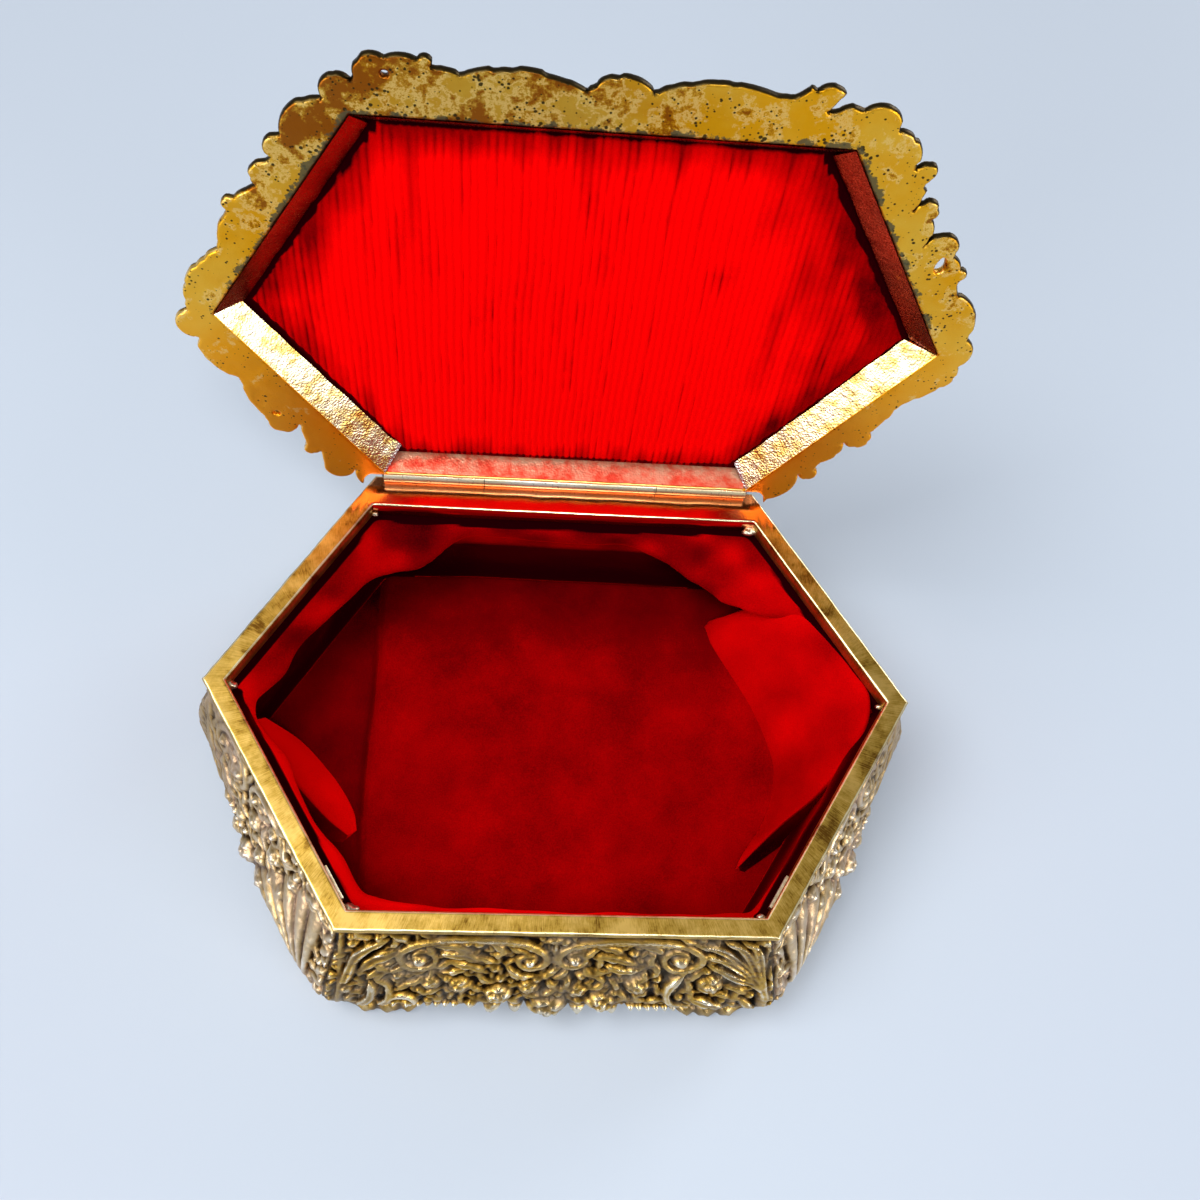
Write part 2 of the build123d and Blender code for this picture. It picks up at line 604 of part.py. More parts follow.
dome = dome_shape(0) - dome_shape(DOME_WALL)
crown_z = SEAT_Z + FLANGE_THICK + DOME_WALL_HEIGHT + DOME_SHOULDER_RISE + DOME_CROWN_RISE
crown_middle_y = (LID_MOUTH[0][1] + LID_MOUTH[3][1]) / 2
crown_sketch = Ellipse(CROWN_RING_LENGTH / 2, CROWN_RING_WIDTH / 2) - Ellipse(
    CROWN_RING_LENGTH / 2 - CROWN_RING_BAND, CROWN_RING_WIDTH / 2 - CROWN_RING_BAND
)
crown_sketch = crown_sketch + Circle(CROWN_ROSE_RADIUS)
for way in (-1, 1):
    for i in range(1, CROWN_BUDS + 1):
        crown_sketch = crown_sketch + Pos(way * CROWN_BUD_STEP * i, 0) * Circle(CROWN_BUD_RADIUS)
crown_low = crown_z - DOME_WALL / 2
crown_relief = extrude(
    Pos(0, crown_middle_y, crown_low) * crown_sketch, amount=CROWN_RELIEF + DOME_WALL / 2, dir=(0, 0, 1)
)
dome = dome + crown_relief
save("lid_dome", opened(dome))

print("hinge axis y, z:", round(AXIS_Y, 3), round(AXIS_Z, 3))
print("well floor and rim heights:", round(PAD_TOP, 3), round(RIM_TOP, 3))
print("border tips:", [round(v, 2) for v in right_tip], "tip notch x", round(tip_x, 2))
print("well outline:", [(round(x, 2), round(y, 2)) for x, y in WELL_OUTLINE])
print("lid mouth:", [(round(x, 2), round(y, 2)) for x, y in LID_MOUTH])
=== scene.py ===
"""Looks of a small six-sided gilt casket, shown open, with its red velvet linings."""

import json
import logging
import math
from dataclasses import dataclass
from enum import Enum, IntEnum

import bmesh
import bpy
import numpy as np
from mathutils import Matrix, Vector
from mathutils.geometry import delaunay_2d_cdt


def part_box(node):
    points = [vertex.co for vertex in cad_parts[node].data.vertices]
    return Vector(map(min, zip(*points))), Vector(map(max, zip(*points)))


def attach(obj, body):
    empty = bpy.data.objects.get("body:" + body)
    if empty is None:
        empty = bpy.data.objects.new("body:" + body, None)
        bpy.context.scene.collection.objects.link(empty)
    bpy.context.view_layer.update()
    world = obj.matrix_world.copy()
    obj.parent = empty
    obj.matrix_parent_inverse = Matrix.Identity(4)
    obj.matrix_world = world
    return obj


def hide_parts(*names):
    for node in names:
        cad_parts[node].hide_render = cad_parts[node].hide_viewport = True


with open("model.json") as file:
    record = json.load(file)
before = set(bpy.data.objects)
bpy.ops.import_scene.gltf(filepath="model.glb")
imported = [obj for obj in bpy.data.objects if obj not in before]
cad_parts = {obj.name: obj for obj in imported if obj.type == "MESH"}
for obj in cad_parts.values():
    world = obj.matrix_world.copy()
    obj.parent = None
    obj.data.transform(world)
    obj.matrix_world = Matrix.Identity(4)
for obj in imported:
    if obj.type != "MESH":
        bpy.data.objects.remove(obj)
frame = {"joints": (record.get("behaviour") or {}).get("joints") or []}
log = logging.getLogger("casket")

MM = 0.001
SIDES = 6
# Lowest height of a place where ornament has nothing to raise
NOTHING = -9.0

Colour = tuple[float, float, float, float]
Material = bpy.types.Material
Socket = bpy.types.NodeSocket


class Side(IntEnum):
    """The six sides, anticlockwise from the front, seen from above."""

    FRONT = 0
    RIGHT_FRONT = 1
    RIGHT_BACK = 2
    BACK = 3
    LEFT_BACK = 4
    LEFT_FRONT = 5


STRAIGHT_SIDES = (Side.FRONT, Side.BACK)
# The slanted sides that start at the case's left or right tip. The other two end there
SIDES_FROM_TIP = (Side.LEFT_FRONT, Side.RIGHT_BACK)


class Body(Enum):
    """The two bodies that the hinge joins."""

    CASE = "case"
    LID = "lid"


class Slot(Enum):
    """Names of three of the record's finishes."""

    CAST = "gilt_cast"
    RIM = "gilt_rim"
    VELVET = "velvet"


def box_mm(node: str) -> tuple[np.ndarray, np.ndarray]:
    """Lowest and highest corners of a frame node.

    Args:
        node: the node's name.

    Returns:
        Both corners in millimetres.
    """
    low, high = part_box(node)
    return np.array(low) / MM, np.array(high) / MM


# Outlines and drawing helpers


@dataclass(frozen=True)
class Outline:
    """A six-sided outline in millimetres, anticlockwise from its front left corner."""

    corners: tuple[tuple[float, float], ...]

    def start(self, side: int) -> np.ndarray:
        """The corner where a side starts."""
        return np.array(self.corners[side % SIDES])

    def length(self, side: int) -> float:
        """Length of a side."""
        return float(np.linalg.norm(self.start(side + 1) - self.start(side)))

    def along(self, side: int) -> np.ndarray:
        """Unit direction from a side's start to its end."""
        return (self.start(side + 1) - self.start(side)) / self.length(side)

    def outward(self, side: int) -> np.ndarray:
        """Unit direction out of a side."""
        along = self.along(side)
        return np.array([along[1], -along[0]])

    def place(self, side: int, share: np.ndarray, reach: np.ndarray) -> np.ndarray:
        """Points on a side that keep to the mitres at both its ends.

        Args:
            side: the side.
            share: from 0 at the side's start to 1 at its end.
            reach: distance out of the side.

        Returns:
            Points, with x and y on the last axis.
        """
        share, reach = np.broadcast_arrays(share, reach)
        start_slide, end_slide = self.slide(side - 1), self.slide(side)
        left = -start_slide * reach
        right = self.length(side) + end_slide * reach
        run = left + (right - left) * share
        return self.start(side) + run[..., None] * self.along(side) + reach[..., None] * self.outward(side)

    def slide(self, side: int) -> float:
        """How far the corner after a side slides along it for each millimetre of reach."""
        turn = math.acos(float(np.clip(np.dot(self.along(side), self.along(side + 1)), -1, 1)))
        return math.tan(turn / 2)

    def moved(self, reaches: list[float]) -> "Outline":
        """The outline after each side moves out by its own reach.

        Args:
            reaches: one distance for each side.

        Returns:
            The moved outline.
        """
        corners = []
        for side in Side:
            before, along_before = self.start(side - 1), self.along(side - 1)
            foot_before = before + self.outward(side - 1) * reaches[side - 1]
            foot = self.start(side) + self.outward(side) * reaches[side]
            along = self.along(side)
            cross = along_before[0] * along[1] - along_before[1] * along[0]
            gap = foot - foot_before
            run = (gap[0] * along[1] - gap[1] * along[0]) / cross
            corners.append(tuple(foot_before + along_before * run))
        return Outline(tuple(corners))

    def between(self, side: int, share: "np.ndarray | float") -> np.ndarray:
        """Points on a side, at shares from 0 at its start to 1 at its end."""
        return self.start(side) + (self.start(side + 1) - self.start(side)) * share

    def inset_of(self, x: np.ndarray, y: np.ndarray) -> np.ndarray:
        """How far places lie inside the nearest side, negative outside."""
        points = np.stack([x, y], -1)
        return np.min([-(points - self.start(side)) @ self.outward(side) for side in Side], axis=0)

    def filled(self, edge: float, pitch: float, share: np.ndarray) -> tuple[np.ndarray, np.ndarray]:
        """A grid of places that fills the outline, in columns from its front to its back.

        Args:
            edge: how far the first and last columns stay from its left and right corners.
            pitch: distance between the columns.
            share: places along each column, from 0 at the front to 1 at the back.

        Returns:
            x and y of the places.
        """
        corners = np.array(self.corners)
        tip = corners[2][0] - edge
        across = np.arange(-tip, tip, pitch)[:, None]
        front = np.interp(across, *corners[[5, 0, 1, 2]].T)
        back = np.interp(across, *corners[[5, 4, 3, 2]].T)
        y = front + (back - front) * share
        return across + 0 * y, y


def with_back(reach: float, back: float) -> list[float]:
    """The same reach for every side but the back."""
    return [back if side == Side.BACK else reach for side in Side]


def uneven(x: np.ndarray, y: np.ndarray, cell: float, seed: int) -> np.ndarray:
    """Smooth random heights from -1 to 1 over a drawing.

    Args:
        x: places along the drawing, in millimetres.
        y: places up the drawing, in millimetres.
        cell: distance between the random values, in millimetres.
        seed: which pattern.

    Returns:
        A height for each place.
    """
    lattice = np.random.default_rng(seed).uniform(-1, 1, (64, 64))
    column, row = np.floor(x / cell), np.floor(y / cell)
    across, up = x / cell - column, y / cell - row
    across, up = across**2 * (3 - 2 * across), up**2 * (3 - 2 * up)
    i, j = column.astype(int) % 64, row.astype(int) % 64
    low = lattice[i, j] * (1 - across) + lattice[(i + 1) % 64, j] * across
    high = lattice[i, (j + 1) % 64] * (1 - across) + lattice[(i + 1) % 64, (j + 1) % 64] * across
    return low * (1 - up) + high * up


def step(value: np.ndarray, low: float, high: float) -> np.ndarray:
    """A smooth step from 0 at low to 1 at high."""
    t = np.clip((value - low) / (high - low), 0, 1)
    return t * t * (3 - 2 * t)


def softened(heights: np.ndarray, times: int) -> np.ndarray:
    """Heights on a grid after some three-point averages each way.

    Args:
        heights: the heights.
        times: how many averages.

    Returns:
        The softened heights.
    """
    for _ in range(times):
        padded = np.pad(heights, 1, mode="edge")
        rows = (padded[:-2] + 2 * padded[1:-1] + padded[2:]) / 4
        heights = (rows[:, :-2] + 2 * rows[:, 1:-1] + rows[:, 2:]) / 4
    return heights


def curve_through(points: list[tuple[float, ...]], count: int) -> np.ndarray:
    """Evenly counted points on a smooth curve through a few given ones.

    Args:
        points: the given points.
        count: how many points to return.

    Returns:
        The curve's points.
    """
    given = np.array(points, float)
    ends = np.vstack([2 * given[0] - given[1], given, 2 * given[-1] - given[-2]])
    place = np.linspace(0, len(given) - 1, count)
    i = np.minimum(place.astype(int), len(given) - 2)
    t = (place - i)[:, None]
    a, b, c, d = ends[i], ends[i + 1], ends[i + 2], ends[i + 3]
    return 0.5 * (2 * b + (c - a) * t + (2 * a - 5 * b + 4 * c - d) * t**2 + (3 * b - a - 3 * c + d) * t**3)


def resampled(curve: np.ndarray, pitch: float = 1.0, count: int = 0) -> np.ndarray:
    """Points at even distances along a curve.

    Args:
        curve: the curve's points.
        pitch: about the distance between the new points.
        count: how many there are, if that is what counts.

    Returns:
        The new points.
    """
    run = np.concatenate([[0], np.cumsum(np.linalg.norm(np.diff(curve, axis=0), axis=1))])
    even = np.linspace(0, run[-1], count or int(run[-1] / pitch))
    return np.stack([np.interp(even, run, column) for column in curve.T], 1)


def directions(curve: np.ndarray) -> np.ndarray:
    """Unit directions along an open curve, at its points."""
    run = np.gradient(curve, axis=0)
    return run / np.linalg.norm(run, axis=1)[:, None]


def left_of(loop: np.ndarray) -> np.ndarray:
    """Unit directions to the left of a closed loop, at its points."""
    run = np.roll(loop, -1, 0) - np.roll(loop, 1, 0)
    return np.stack([-run[:, 1], run[:, 0]], 1) / np.linalg.norm(run, axis=1)[:, None]


def averaged(rings: np.ndarray) -> np.ndarray:
    """Rows that run round a closed form, each averaged with its two neighbours."""
    return (np.roll(rings, 1, 0) + 2 * rings + np.roll(rings, -1, 0)) / 4


def edge_gap(points: np.ndarray, loops: list[np.ndarray]) -> np.ndarray:
    """Distance from each point to the nearest of some closed loops.

    Args:
        points: x and y of the points.
        loops: the loops' points.

    Returns:
        One distance for each point.
    """
    best = np.full(len(points), 1e9)
    for loop in loops:
        for a, b in zip(loop, np.roll(loop, -1, 0)):
            run = b - a
            share = np.clip((points - a) @ run / max(run @ run, 1e-9), 0, 1)
            best = np.minimum(best, np.linalg.norm(points - a - share[:, None] * run, axis=1))
    return best


def inside_loops(points: np.ndarray, loops: list[np.ndarray]) -> np.ndarray:
    """Which points lie inside an odd number of closed loops.

    Args:
        points: x and y of the points.
        loops: the loops' points.

    Returns:
        True for each point that does.
    """
    inside = np.zeros(len(points), bool)
    for loop in loops:
        for (ax, ay), (bx, by) in zip(loop, np.roll(loop, -1, 0)):
            if ay != by:
                crossing = (ay > points[:, 1]) != (by > points[:, 1])
                inside ^= crossing & (points[:, 0] < ax + (points[:, 1] - ay) * (bx - ax) / (by - ay))
    return inside


def bulged(start: tuple[float, float], end: tuple[float, float], bulge: float, step_mm: float) -> np.ndarray:
    """Points on an arc, without its end.

    Args:
        start: where the arc starts.
        end: where it ends.
        bulge: its rise to the left, as a share of its chord.
        step_mm: distance between the points.

    Returns:
        The points.
    """
    a, b = np.array(start), np.array(end)
    chord = np.linalg.norm(b - a)
    count = max(1, round(chord * (1 + 2 * bulge**2) / step_mm))
    share = np.arange(count)[:, None] / count
    if abs(bulge) < 0.02:
        return a + (b - a) * share
    half = 2 * math.atan(2 * bulge)
    along = (b - a) / chord
    left = np.array([-along[1], along[0]])
    radius = chord / 2 / math.sin(half)
    angle = half * (2 * share - 1)
    above = radius * (np.cos(angle) - math.cos(half))
    return a + along * (chord / 2 + radius * np.sin(angle)) + left * above


# Meshes


def torus_faces(grid: np.ndarray) -> np.ndarray:
    """Quads over a grid of points that closes on itself both ways.

    Args:
        grid: the points.

    Returns:
        Four indices for each quad.
    """
    index = np.arange(grid.shape[0] * grid.shape[1]).reshape(grid.shape[:2])
    after_row, after_column = np.roll(index, -1, 0), np.roll(index, -1, 1)
    both = np.roll(after_row, -1, 1)
    return np.stack([index, after_row, both, after_column], -1).reshape(-1, 4)


def tube_faces(grid: np.ndarray) -> list[list[int]]:
    """Quads over a grid of points that closes on itself along its columns, and caps for its ends.

    Args:
        grid: the points.

    Returns:
        The indices of each face.
    """
    rows, columns = grid.shape[:2]
    quads = torus_faces(grid)[: (rows - 1) * columns].tolist()
    return quads + [list(range(columns)), list(range((rows - 1) * columns, rows * columns))]


def with_flat_back(x: np.ndarray, y: np.ndarray, height: np.ndarray, back: float) -> np.ndarray:
    """A sheet's grid of points, closed by three more rows behind it.

    Args:
        x: places across, in columns.
        y: places along each column.
        height: the height of each place.
        back: the height of its flat back.

    Returns:
        The points.
    """
    behind = [x[:, :3], y[:, [-1, y.shape[1] // 2, 0]], np.full((len(x), 3), back)]
    return np.dstack([np.hstack(pair) for pair in zip((x, y, height), behind)])


def make_piece(
    name: str,
    points: np.ndarray,
    faces: "np.ndarray | list[list[int]]",
    body: Body,
    finish: Material,
    fields: "dict[str, np.ndarray] | None" = None,
    crease: float = 50.0,
) -> bpy.types.Object:
    """A piece of the casket from a mesh in millimetres.

    Args:
        name: the piece's name.
        points: its vertices, in millimetres.
        faces: its faces.
        body: the body that it rides on.
        finish: its material.
        fields: named values at each vertex for its finish, such as how worn it is and where light and shade
            are painted on it.
        crease: edges that turn by more degrees than this stay sharp.

    Returns:
        The object.
    """
    mesh = bpy.data.meshes.new(name)
    vertices = (np.reshape(points, (-1, 3)) * MM).tolist()
    mesh.from_pydata(vertices, [], faces if isinstance(faces, list) else faces.tolist())
    for field, values in (fields or {}).items():
        attribute = mesh.attributes.new(field, "FLOAT", "POINT")
        attribute.data.foreach_set("value", np.asarray(values, np.float32).ravel())
    form = bmesh.new()
    form.from_mesh(mesh)
    bmesh.ops.recalc_face_normals(form, faces=form.faces)
    form.to_mesh(mesh)
    form.free()
    mesh.polygons.foreach_set("use_smooth", [True] * len(mesh.polygons))
    mesh.set_sharp_from_angle(angle=math.radians(crease))
    mesh.materials.append(finish)
    piece = bpy.data.objects.new(name, mesh)
    bpy.context.scene.collection.objects.link(piece)
    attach(piece, body.value)
    return piece


# Finishes


def linear(hex_colour: str) -> Colour:
    """Linear red, green, blue and alpha of an sRGB hex colour."""
    values = [int(hex_colour[i : i + 2], 16) / 255 for i in (1, 3, 5)]
    return tuple(v / 12.92 if v <= 0.04045 else ((v + 0.055) / 1.055) ** 2.4 for v in values) + (1.0,)


def add_node(
    tree: bpy.types.NodeTree,
    kind: str,
    settings: "dict[str, object] | None" = None,
    inputs: "dict[object, object] | None" = None,
) -> bpy.types.Node:
    """Add a node with its settings, its input values and its links.

    Args:
        tree: the node tree.
        kind: the node's type name.
        settings: properties to set on the node.
        inputs: for each input socket, a value, or the output socket that feeds it.

    Returns:
        The node.
    """
    node = tree.nodes.new(kind)
    for key, value in (settings or {}).items():
        setattr(node, key, value)
    for key, value in (inputs or {}).items():
        if isinstance(value, Socket):
            tree.links.new(value, node.inputs[key])
        else:
            node.inputs[key].default_value = value
    return node


class Paint:
    """The nodes of one material or world, with the steps that the finishes share."""

    dulling = 0.16

    def __init__(self, owner: "Material | bpy.types.World", coordinates: str = "Object",
                 scale: float = 1 / MM) -> None:
        """Start with an empty tree.

        Args:
            owner: the material or world.
            coordinates: the texture coordinates that its patterns follow.
            scale: what these are multiplied with, by default to millimetres.
        """
        owner.use_nodes = True
        self.owner = owner
        self.tree = owner.node_tree
        self.tree.nodes.clear()
        place = self.add("ShaderNodeTexCoord").outputs[coordinates]
        self.place = self.vector("SCALE", {0: place, "Scale": scale})

    def add(self, kind: str, settings: "dict[str, object] | None" = None,
            inputs: "dict[object, object] | None" = None) -> bpy.types.Node:
        """Add a node to the tree."""
        return add_node(self.tree, kind, settings, inputs)

    def vector(self, operation: str, inputs: "dict[object, object]") -> Socket:
        """The result of a vector operation."""
        return self.add("ShaderNodeVectorMath", {"operation": operation}, inputs).outputs[0]

    def maths(self, operation: str, *values: "Socket | float") -> Socket:
        """The result of an operation on numbers."""
        return self.add("ShaderNodeMath", {"operation": operation}, dict(enumerate(values))).outputs[0]

    def mix_in(self, value: Socket, share: float, base: "Socket | float") -> Socket:
        """A share of one value added to a base."""
        return self.maths("MULTIPLY_ADD", value, share, base)

    def field(self, name: str) -> Socket:
        """A named value that the mesh carries at its points."""
        return self.add("ShaderNodeAttribute", {"attribute_name": name}).outputs["Fac"]

    def noise(self, size_mm: float, detail: float, rough: float = 0.5,
              place: "Socket | None" = None) -> Socket:
        """Cloudy noise whose largest patches are about the given size."""
        inputs = {"Vector": place or self.place, "Scale": 1 / size_mm, "Detail": detail, "Roughness": rough}
        return self.add("ShaderNodeTexNoise", inputs=inputs).outputs["Fac"]

    def spots(self, size_mm: float, **smooth: float) -> Socket:
        """Distance from the nearest of scattered points, smoothed where a Smoothness is given."""
        inputs = {"Vector": self.place, "Scale": 1 / size_mm, **smooth}
        feature = "SMOOTH_F1" if smooth else "F1"
        return self.add("ShaderNodeTexVoronoi", {"feature": feature}, inputs).outputs["Distance"]

    def ramp(self, factor: Socket, *stops: "tuple[float, str | float]") -> Socket:
        """A colour ramp.

        Args:
            factor: what drives it.
            stops: each place from 0 to 1, with its hex colour or its neutral value.

        Returns:
            Its colour.
        """
        node = self.add("ShaderNodeValToRGB", inputs={0: factor})
        elements = node.color_ramp.elements
        while len(elements) < len(stops):
            elements.new(0.5)
        for element, (place, tone) in zip(elements, stops):
            element.position = place
            element.color = linear(tone) if isinstance(tone, str) else (tone, tone, tone, 1.0)
        return node.outputs["Color"]

    def laid_over(self, under: Socket, cover: Socket, tone: str) -> Socket:
        """A colour with another laid over it where a cover is 1."""
        inputs = {"Factor": cover, 6: under, 7: linear(tone)}
        return self.add("ShaderNodeMix", {"data_type": "RGBA"}, inputs).outputs[2]

    def stained(self, under: Socket, factor: Socket, start: float, end: float, tone: str,
                share: float = 1.0) -> Socket:
        """A colour with another laid over it, from nothing where a factor is at start to a share at end."""
        return self.laid_over(under, self.ramp(factor, (start, 0.0), (end, share)), tone)

    def dulled(self, fine: Socket, roughness: float) -> Socket:
        """A roughness that rises a little where fine noise is high."""
        return self.ramp(fine, (0.3, roughness), (0.75, roughness + self.dulling))

    def finish(self, colour: "Socket | Colour", roughness: "Socket | float", metallic: float,
               bump: "tuple[Socket, float, float] | None" = None,
               more: "dict[str, object] | None" = None) -> Material:
        """Add the principled shader and the output.

        Args:
            colour: the surface's colour.
            roughness: its roughness.
            metallic: 1 for bare metal, 0 for everything else.
            bump: the heights of its fine texture, how strongly they show and their depth in millimetres.
            more: other inputs of the shader.

        Returns:
            The material.
        """
        inputs = {"Base Color": colour, "Roughness": roughness, "Metallic": metallic, **(more or {})}
        if bump:
            height, strength, depth_mm = bump
            inputs["Normal"] = self.add("ShaderNodeBump", inputs={
                "Strength": strength, "Distance": depth_mm * MM, "Height": height}).outputs["Normal"]
        shader = self.add("ShaderNodeBsdfPrincipled", inputs=inputs)
        self.add("ShaderNodeOutputMaterial", inputs={"Surface": shader.outputs["BSDF"]})
        return self.owner


@dataclass(frozen=True)
class CastGilt:
    """Gilt on cast brass, poured in a mould, gilded, then dulled and rubbed back.

    The high places are worn pale and bright and carry a near-white painted highlight, the hollows keep a
    brown film that is darkened to near black as painted shade, pale dust lies in patches, and the metal is
    grainy from the mould.
    """

    name: str = "antiqued_cast_gilt"
    hollow: str = "#160C03"
    middle: str = "#7E5C22"
    gold: str = "#CCA24C"
    rubbed_and_highlit: str = "#FFF2D6"
    dust: str = "#8A7A64"
    polished_roughness: float = 0.22
    dull_roughness: float = 0.5
    grain_mm: float = 0.3
    grain_share: float = 0.18
    grain_depth_mm: float = 0.09
    patch_mm: float = 5.0
    patch_share: float = 0.34
    dust_mm: float = 9.0
    dust_share: float = 0.5

    def build(self) -> Material:
        """Lay out its nodes.

        Returns:
            The material.
        """
        paint = Paint(bpy.data.materials.new(self.name))
        grain = paint.noise(self.grain_mm, 3.0, 0.6)
        # The middle of both noises is taken off, so that the relief alone sets the mean tone
        level = paint.mix_in(paint.field("relief"), 1.0, -(self.patch_share + self.grain_share) / 2)
        worn = paint.mix_in(paint.noise(self.patch_mm, 3.0), self.patch_share, level)
        worn = paint.mix_in(grain, self.grain_share, worn)
        # Painted shade in the hollows over the brown film, and a near-white painted highlight on the worn
        # ridges
        colour = paint.ramp(worn, (0.08, self.hollow), (0.34, self.middle),
                            (0.58, self.gold), (0.86, self.rubbed_and_highlit))
        dusty = paint.noise(self.dust_mm, 3.0)
        colour = paint.stained(colour, dusty, 0.46, 0.62, self.dust, self.dust_share)
        roughness = paint.ramp(worn, (0.0, self.dull_roughness), (0.7, self.polished_roughness))
        return paint.finish(colour, roughness, 1.0, (grain, 0.6, self.grain_depth_mm))


@dataclass(frozen=True)
class FlatGilt:
    """Gilt on flat brass, filed, rubbed and then tarnished by age.

    It mirrors its surroundings softly, file marks break that mirror, and it has brown blotches and
    green-black specks where the gilding has gone.
    """

    name: str
    gold: str
    pale: str
    roughness: float
    blotch_start: float = 0.66
    speck_start: float = 0.78
    blotch: str = "#8A5220"
    speck: str = "#2A2412"
    cloud_mm: float = 13.0
    blotch_mm: float = 6.0
    speck_mm: float = 1.5
    mark_mm: float = 0.4
    mark_depth_mm: float = 0.04

    def build(self) -> Material:
        """Lay out its nodes.

        Returns:
            The material.
        """
        paint = Paint(bpy.data.materials.new(self.name))
        blotches = paint.noise(self.blotch_mm, 5.0, 0.68)
        marks = paint.noise(self.mark_mm, 2.0)
        colour = paint.ramp(paint.noise(self.cloud_mm, 4.0), (0.4, self.gold), (0.6, self.pale))
        start = self.blotch_start
        colour = paint.stained(colour, blotches, start - 0.06, start + 0.05, self.blotch, 0.9)
        near_blotches = paint.mix_in(blotches, 0.3, paint.noise(self.speck_mm, 4.0, 0.6))
        start = self.speck_start
        colour = paint.stained(colour, near_blotches, start + 0.12, start + 0.17, self.speck)
        rough = paint.dulled(marks, self.roughness)
        return paint.finish(colour, rough, 1.0, (marks, 0.5, self.mark_depth_mm))


@dataclass(frozen=True)
class WornGilt:
    """Gilt on a flat cast plate, polished once and eaten by damp since.

    It mirrors softly. Brown clouds with pale rims show where the gilding has worn through, fine black
    pits lie scattered between them, and grey-green crust sits along the mouth. Its edges carry painted shade
    on the far side and a painted highlight near the hinge.
    """

    name: str = "worn_gilt"
    gold: str = "#EEAA12"
    pale: str = "#F2C648"
    tarnish: str = "#8A5608"
    warm: str = "#F49A18"
    brown: str = "#863C0A"
    rim: str = "#F8D684"
    pit: str = "#3A2E16"
    crust: str = "#5C563C"
    cloud_mm: float = 16.0
    brown_mm: float = 7.0
    brown_start: float = 0.66
    pit_mm: float = 0.9
    pit_cluster_mm: float = 3.2
    crust_mm: float = 3.0
    mark_mm: float = 0.45
    mark_depth_mm: float = 0.04
    roughness: float = 0.3

    def build(self) -> Material:
        """Lay out its nodes.

        Returns:
            The material.
        """
        paint = Paint(bpy.data.materials.new(self.name))
        worn, crusted, edge = paint.field("wear"), paint.field("crust"), paint.field("relief")
        wear = paint.mix_in(worn, 0.3, paint.noise(self.brown_mm, 7.0, 0.72))
        pits = paint.mix_in(paint.spots(self.pit_mm), -0.8, paint.noise(self.pit_cluster_mm, 4.0, 0.6))
        pits = paint.mix_in(crusted, 0.12, paint.mix_in(worn, 0.1, pits))
        crusts = paint.mix_in(crusted, 0.26, paint.noise(self.crust_mm, 5.0, 0.65))
        marks = paint.noise(self.mark_mm, 2.0)
        colour = paint.ramp(paint.noise(self.cloud_mm, 4.0), (0.4, self.gold), (0.66, self.pale))
        colour = paint.laid_over(colour, paint.field("warm"), self.warm)
        colour = paint.laid_over(colour, paint.mix_in(worn, 1.1, -0.15), self.tarnish)
        start = self.brown_start
        ring = paint.ramp(wear, (start - 0.07, 0.0), (start - 0.03, 0.6), (start, 0.0))
        colour = paint.laid_over(colour, ring, self.rim)
        colour = paint.stained(colour, wear, start - 0.01, start + 0.05, self.brown, 0.85)
        colour = paint.stained(colour, pits, 0.4, 0.46, self.pit, 0.95)
        colour = paint.stained(colour, crusts, 0.72, 0.77, self.crust, 0.9)
        # Painted shade in the pit colour where the edge value is low, and a painted highlight in the pale
        # rim colour where it is high
        colour = paint.laid_over(colour, paint.ramp(edge, (0.02, 1.0), (0.4, 0.0)), self.pit)
        colour = paint.stained(colour, edge, 0.75, 1.0, self.rim)
        rough = paint.dulled(marks, self.roughness)
        return paint.finish(colour, rough, 1.0, (marks, 0.6, self.mark_depth_mm))


@dataclass(frozen=True)
class ScratchedGilt:
    """Gilt on a flat rim, filed crosswise and rubbed by the lid.

    Fine scratches across its width dull it to olive gold, its edges carry a pale painted highlight, and
    where it faces the open lid it is still polished enough to mirror the red velvet, and its colour there
    holds a painted pink reflection of the velvet.
    """

    name: str = "scratched_gilt"
    gold: str = "#B08C38"
    pale: str = "#D4AE5C"
    edge: str = "#F6E6B8"
    stain: str = "#6E4A18"
    polished: str = "#F0A070"
    cloud_mm: float = 5.0
    scratch_mm: float = 0.22
    scratch_stretch: float = 0.12
    scratch_depth_mm: float = 0.04
    roughness: float = 0.36
    polished_roughness: float = 0.14

    def build(self) -> Material:
        """Lay out its nodes.

        Returns:
            The material.
        """
        paint = Paint(bpy.data.materials.new(self.name))
        across = paint.vector("SCALE", {0: paint.place, "Scale": self.scratch_stretch})
        run = paint.add("ShaderNodeCombineXYZ", inputs={"X": paint.field("run")}).outputs[0]
        scratches = paint.noise(self.scratch_mm, 3.0, 0.6, paint.vector("ADD", {0: across, 1: run}))
        cloud = paint.noise(self.cloud_mm, 5.0, 0.65)
        polish = paint.field("polish")
        colour = paint.ramp(paint.mix_in(scratches, 0.5, cloud),
                            (0.55, self.stain), (0.68, self.gold), (0.88, self.pale))
        # Painted reflection of the velvet, in pink, where the rim faces the lid
        colour = paint.laid_over(colour, polish, self.polished)
        # Painted highlight along the bevelled edges
        bright = paint.mix_in(cloud, 0.8, paint.mix_in(paint.field("relief"), 1.0, -0.66))
        colour = paint.stained(colour, bright, 0.5, 0.75, self.edge)
        rough = paint.ramp(polish, (0.0, self.roughness), (1.0, self.polished_roughness))
        return paint.finish(colour, rough, 1.0, (scratches, 0.5, self.scratch_depth_mm))


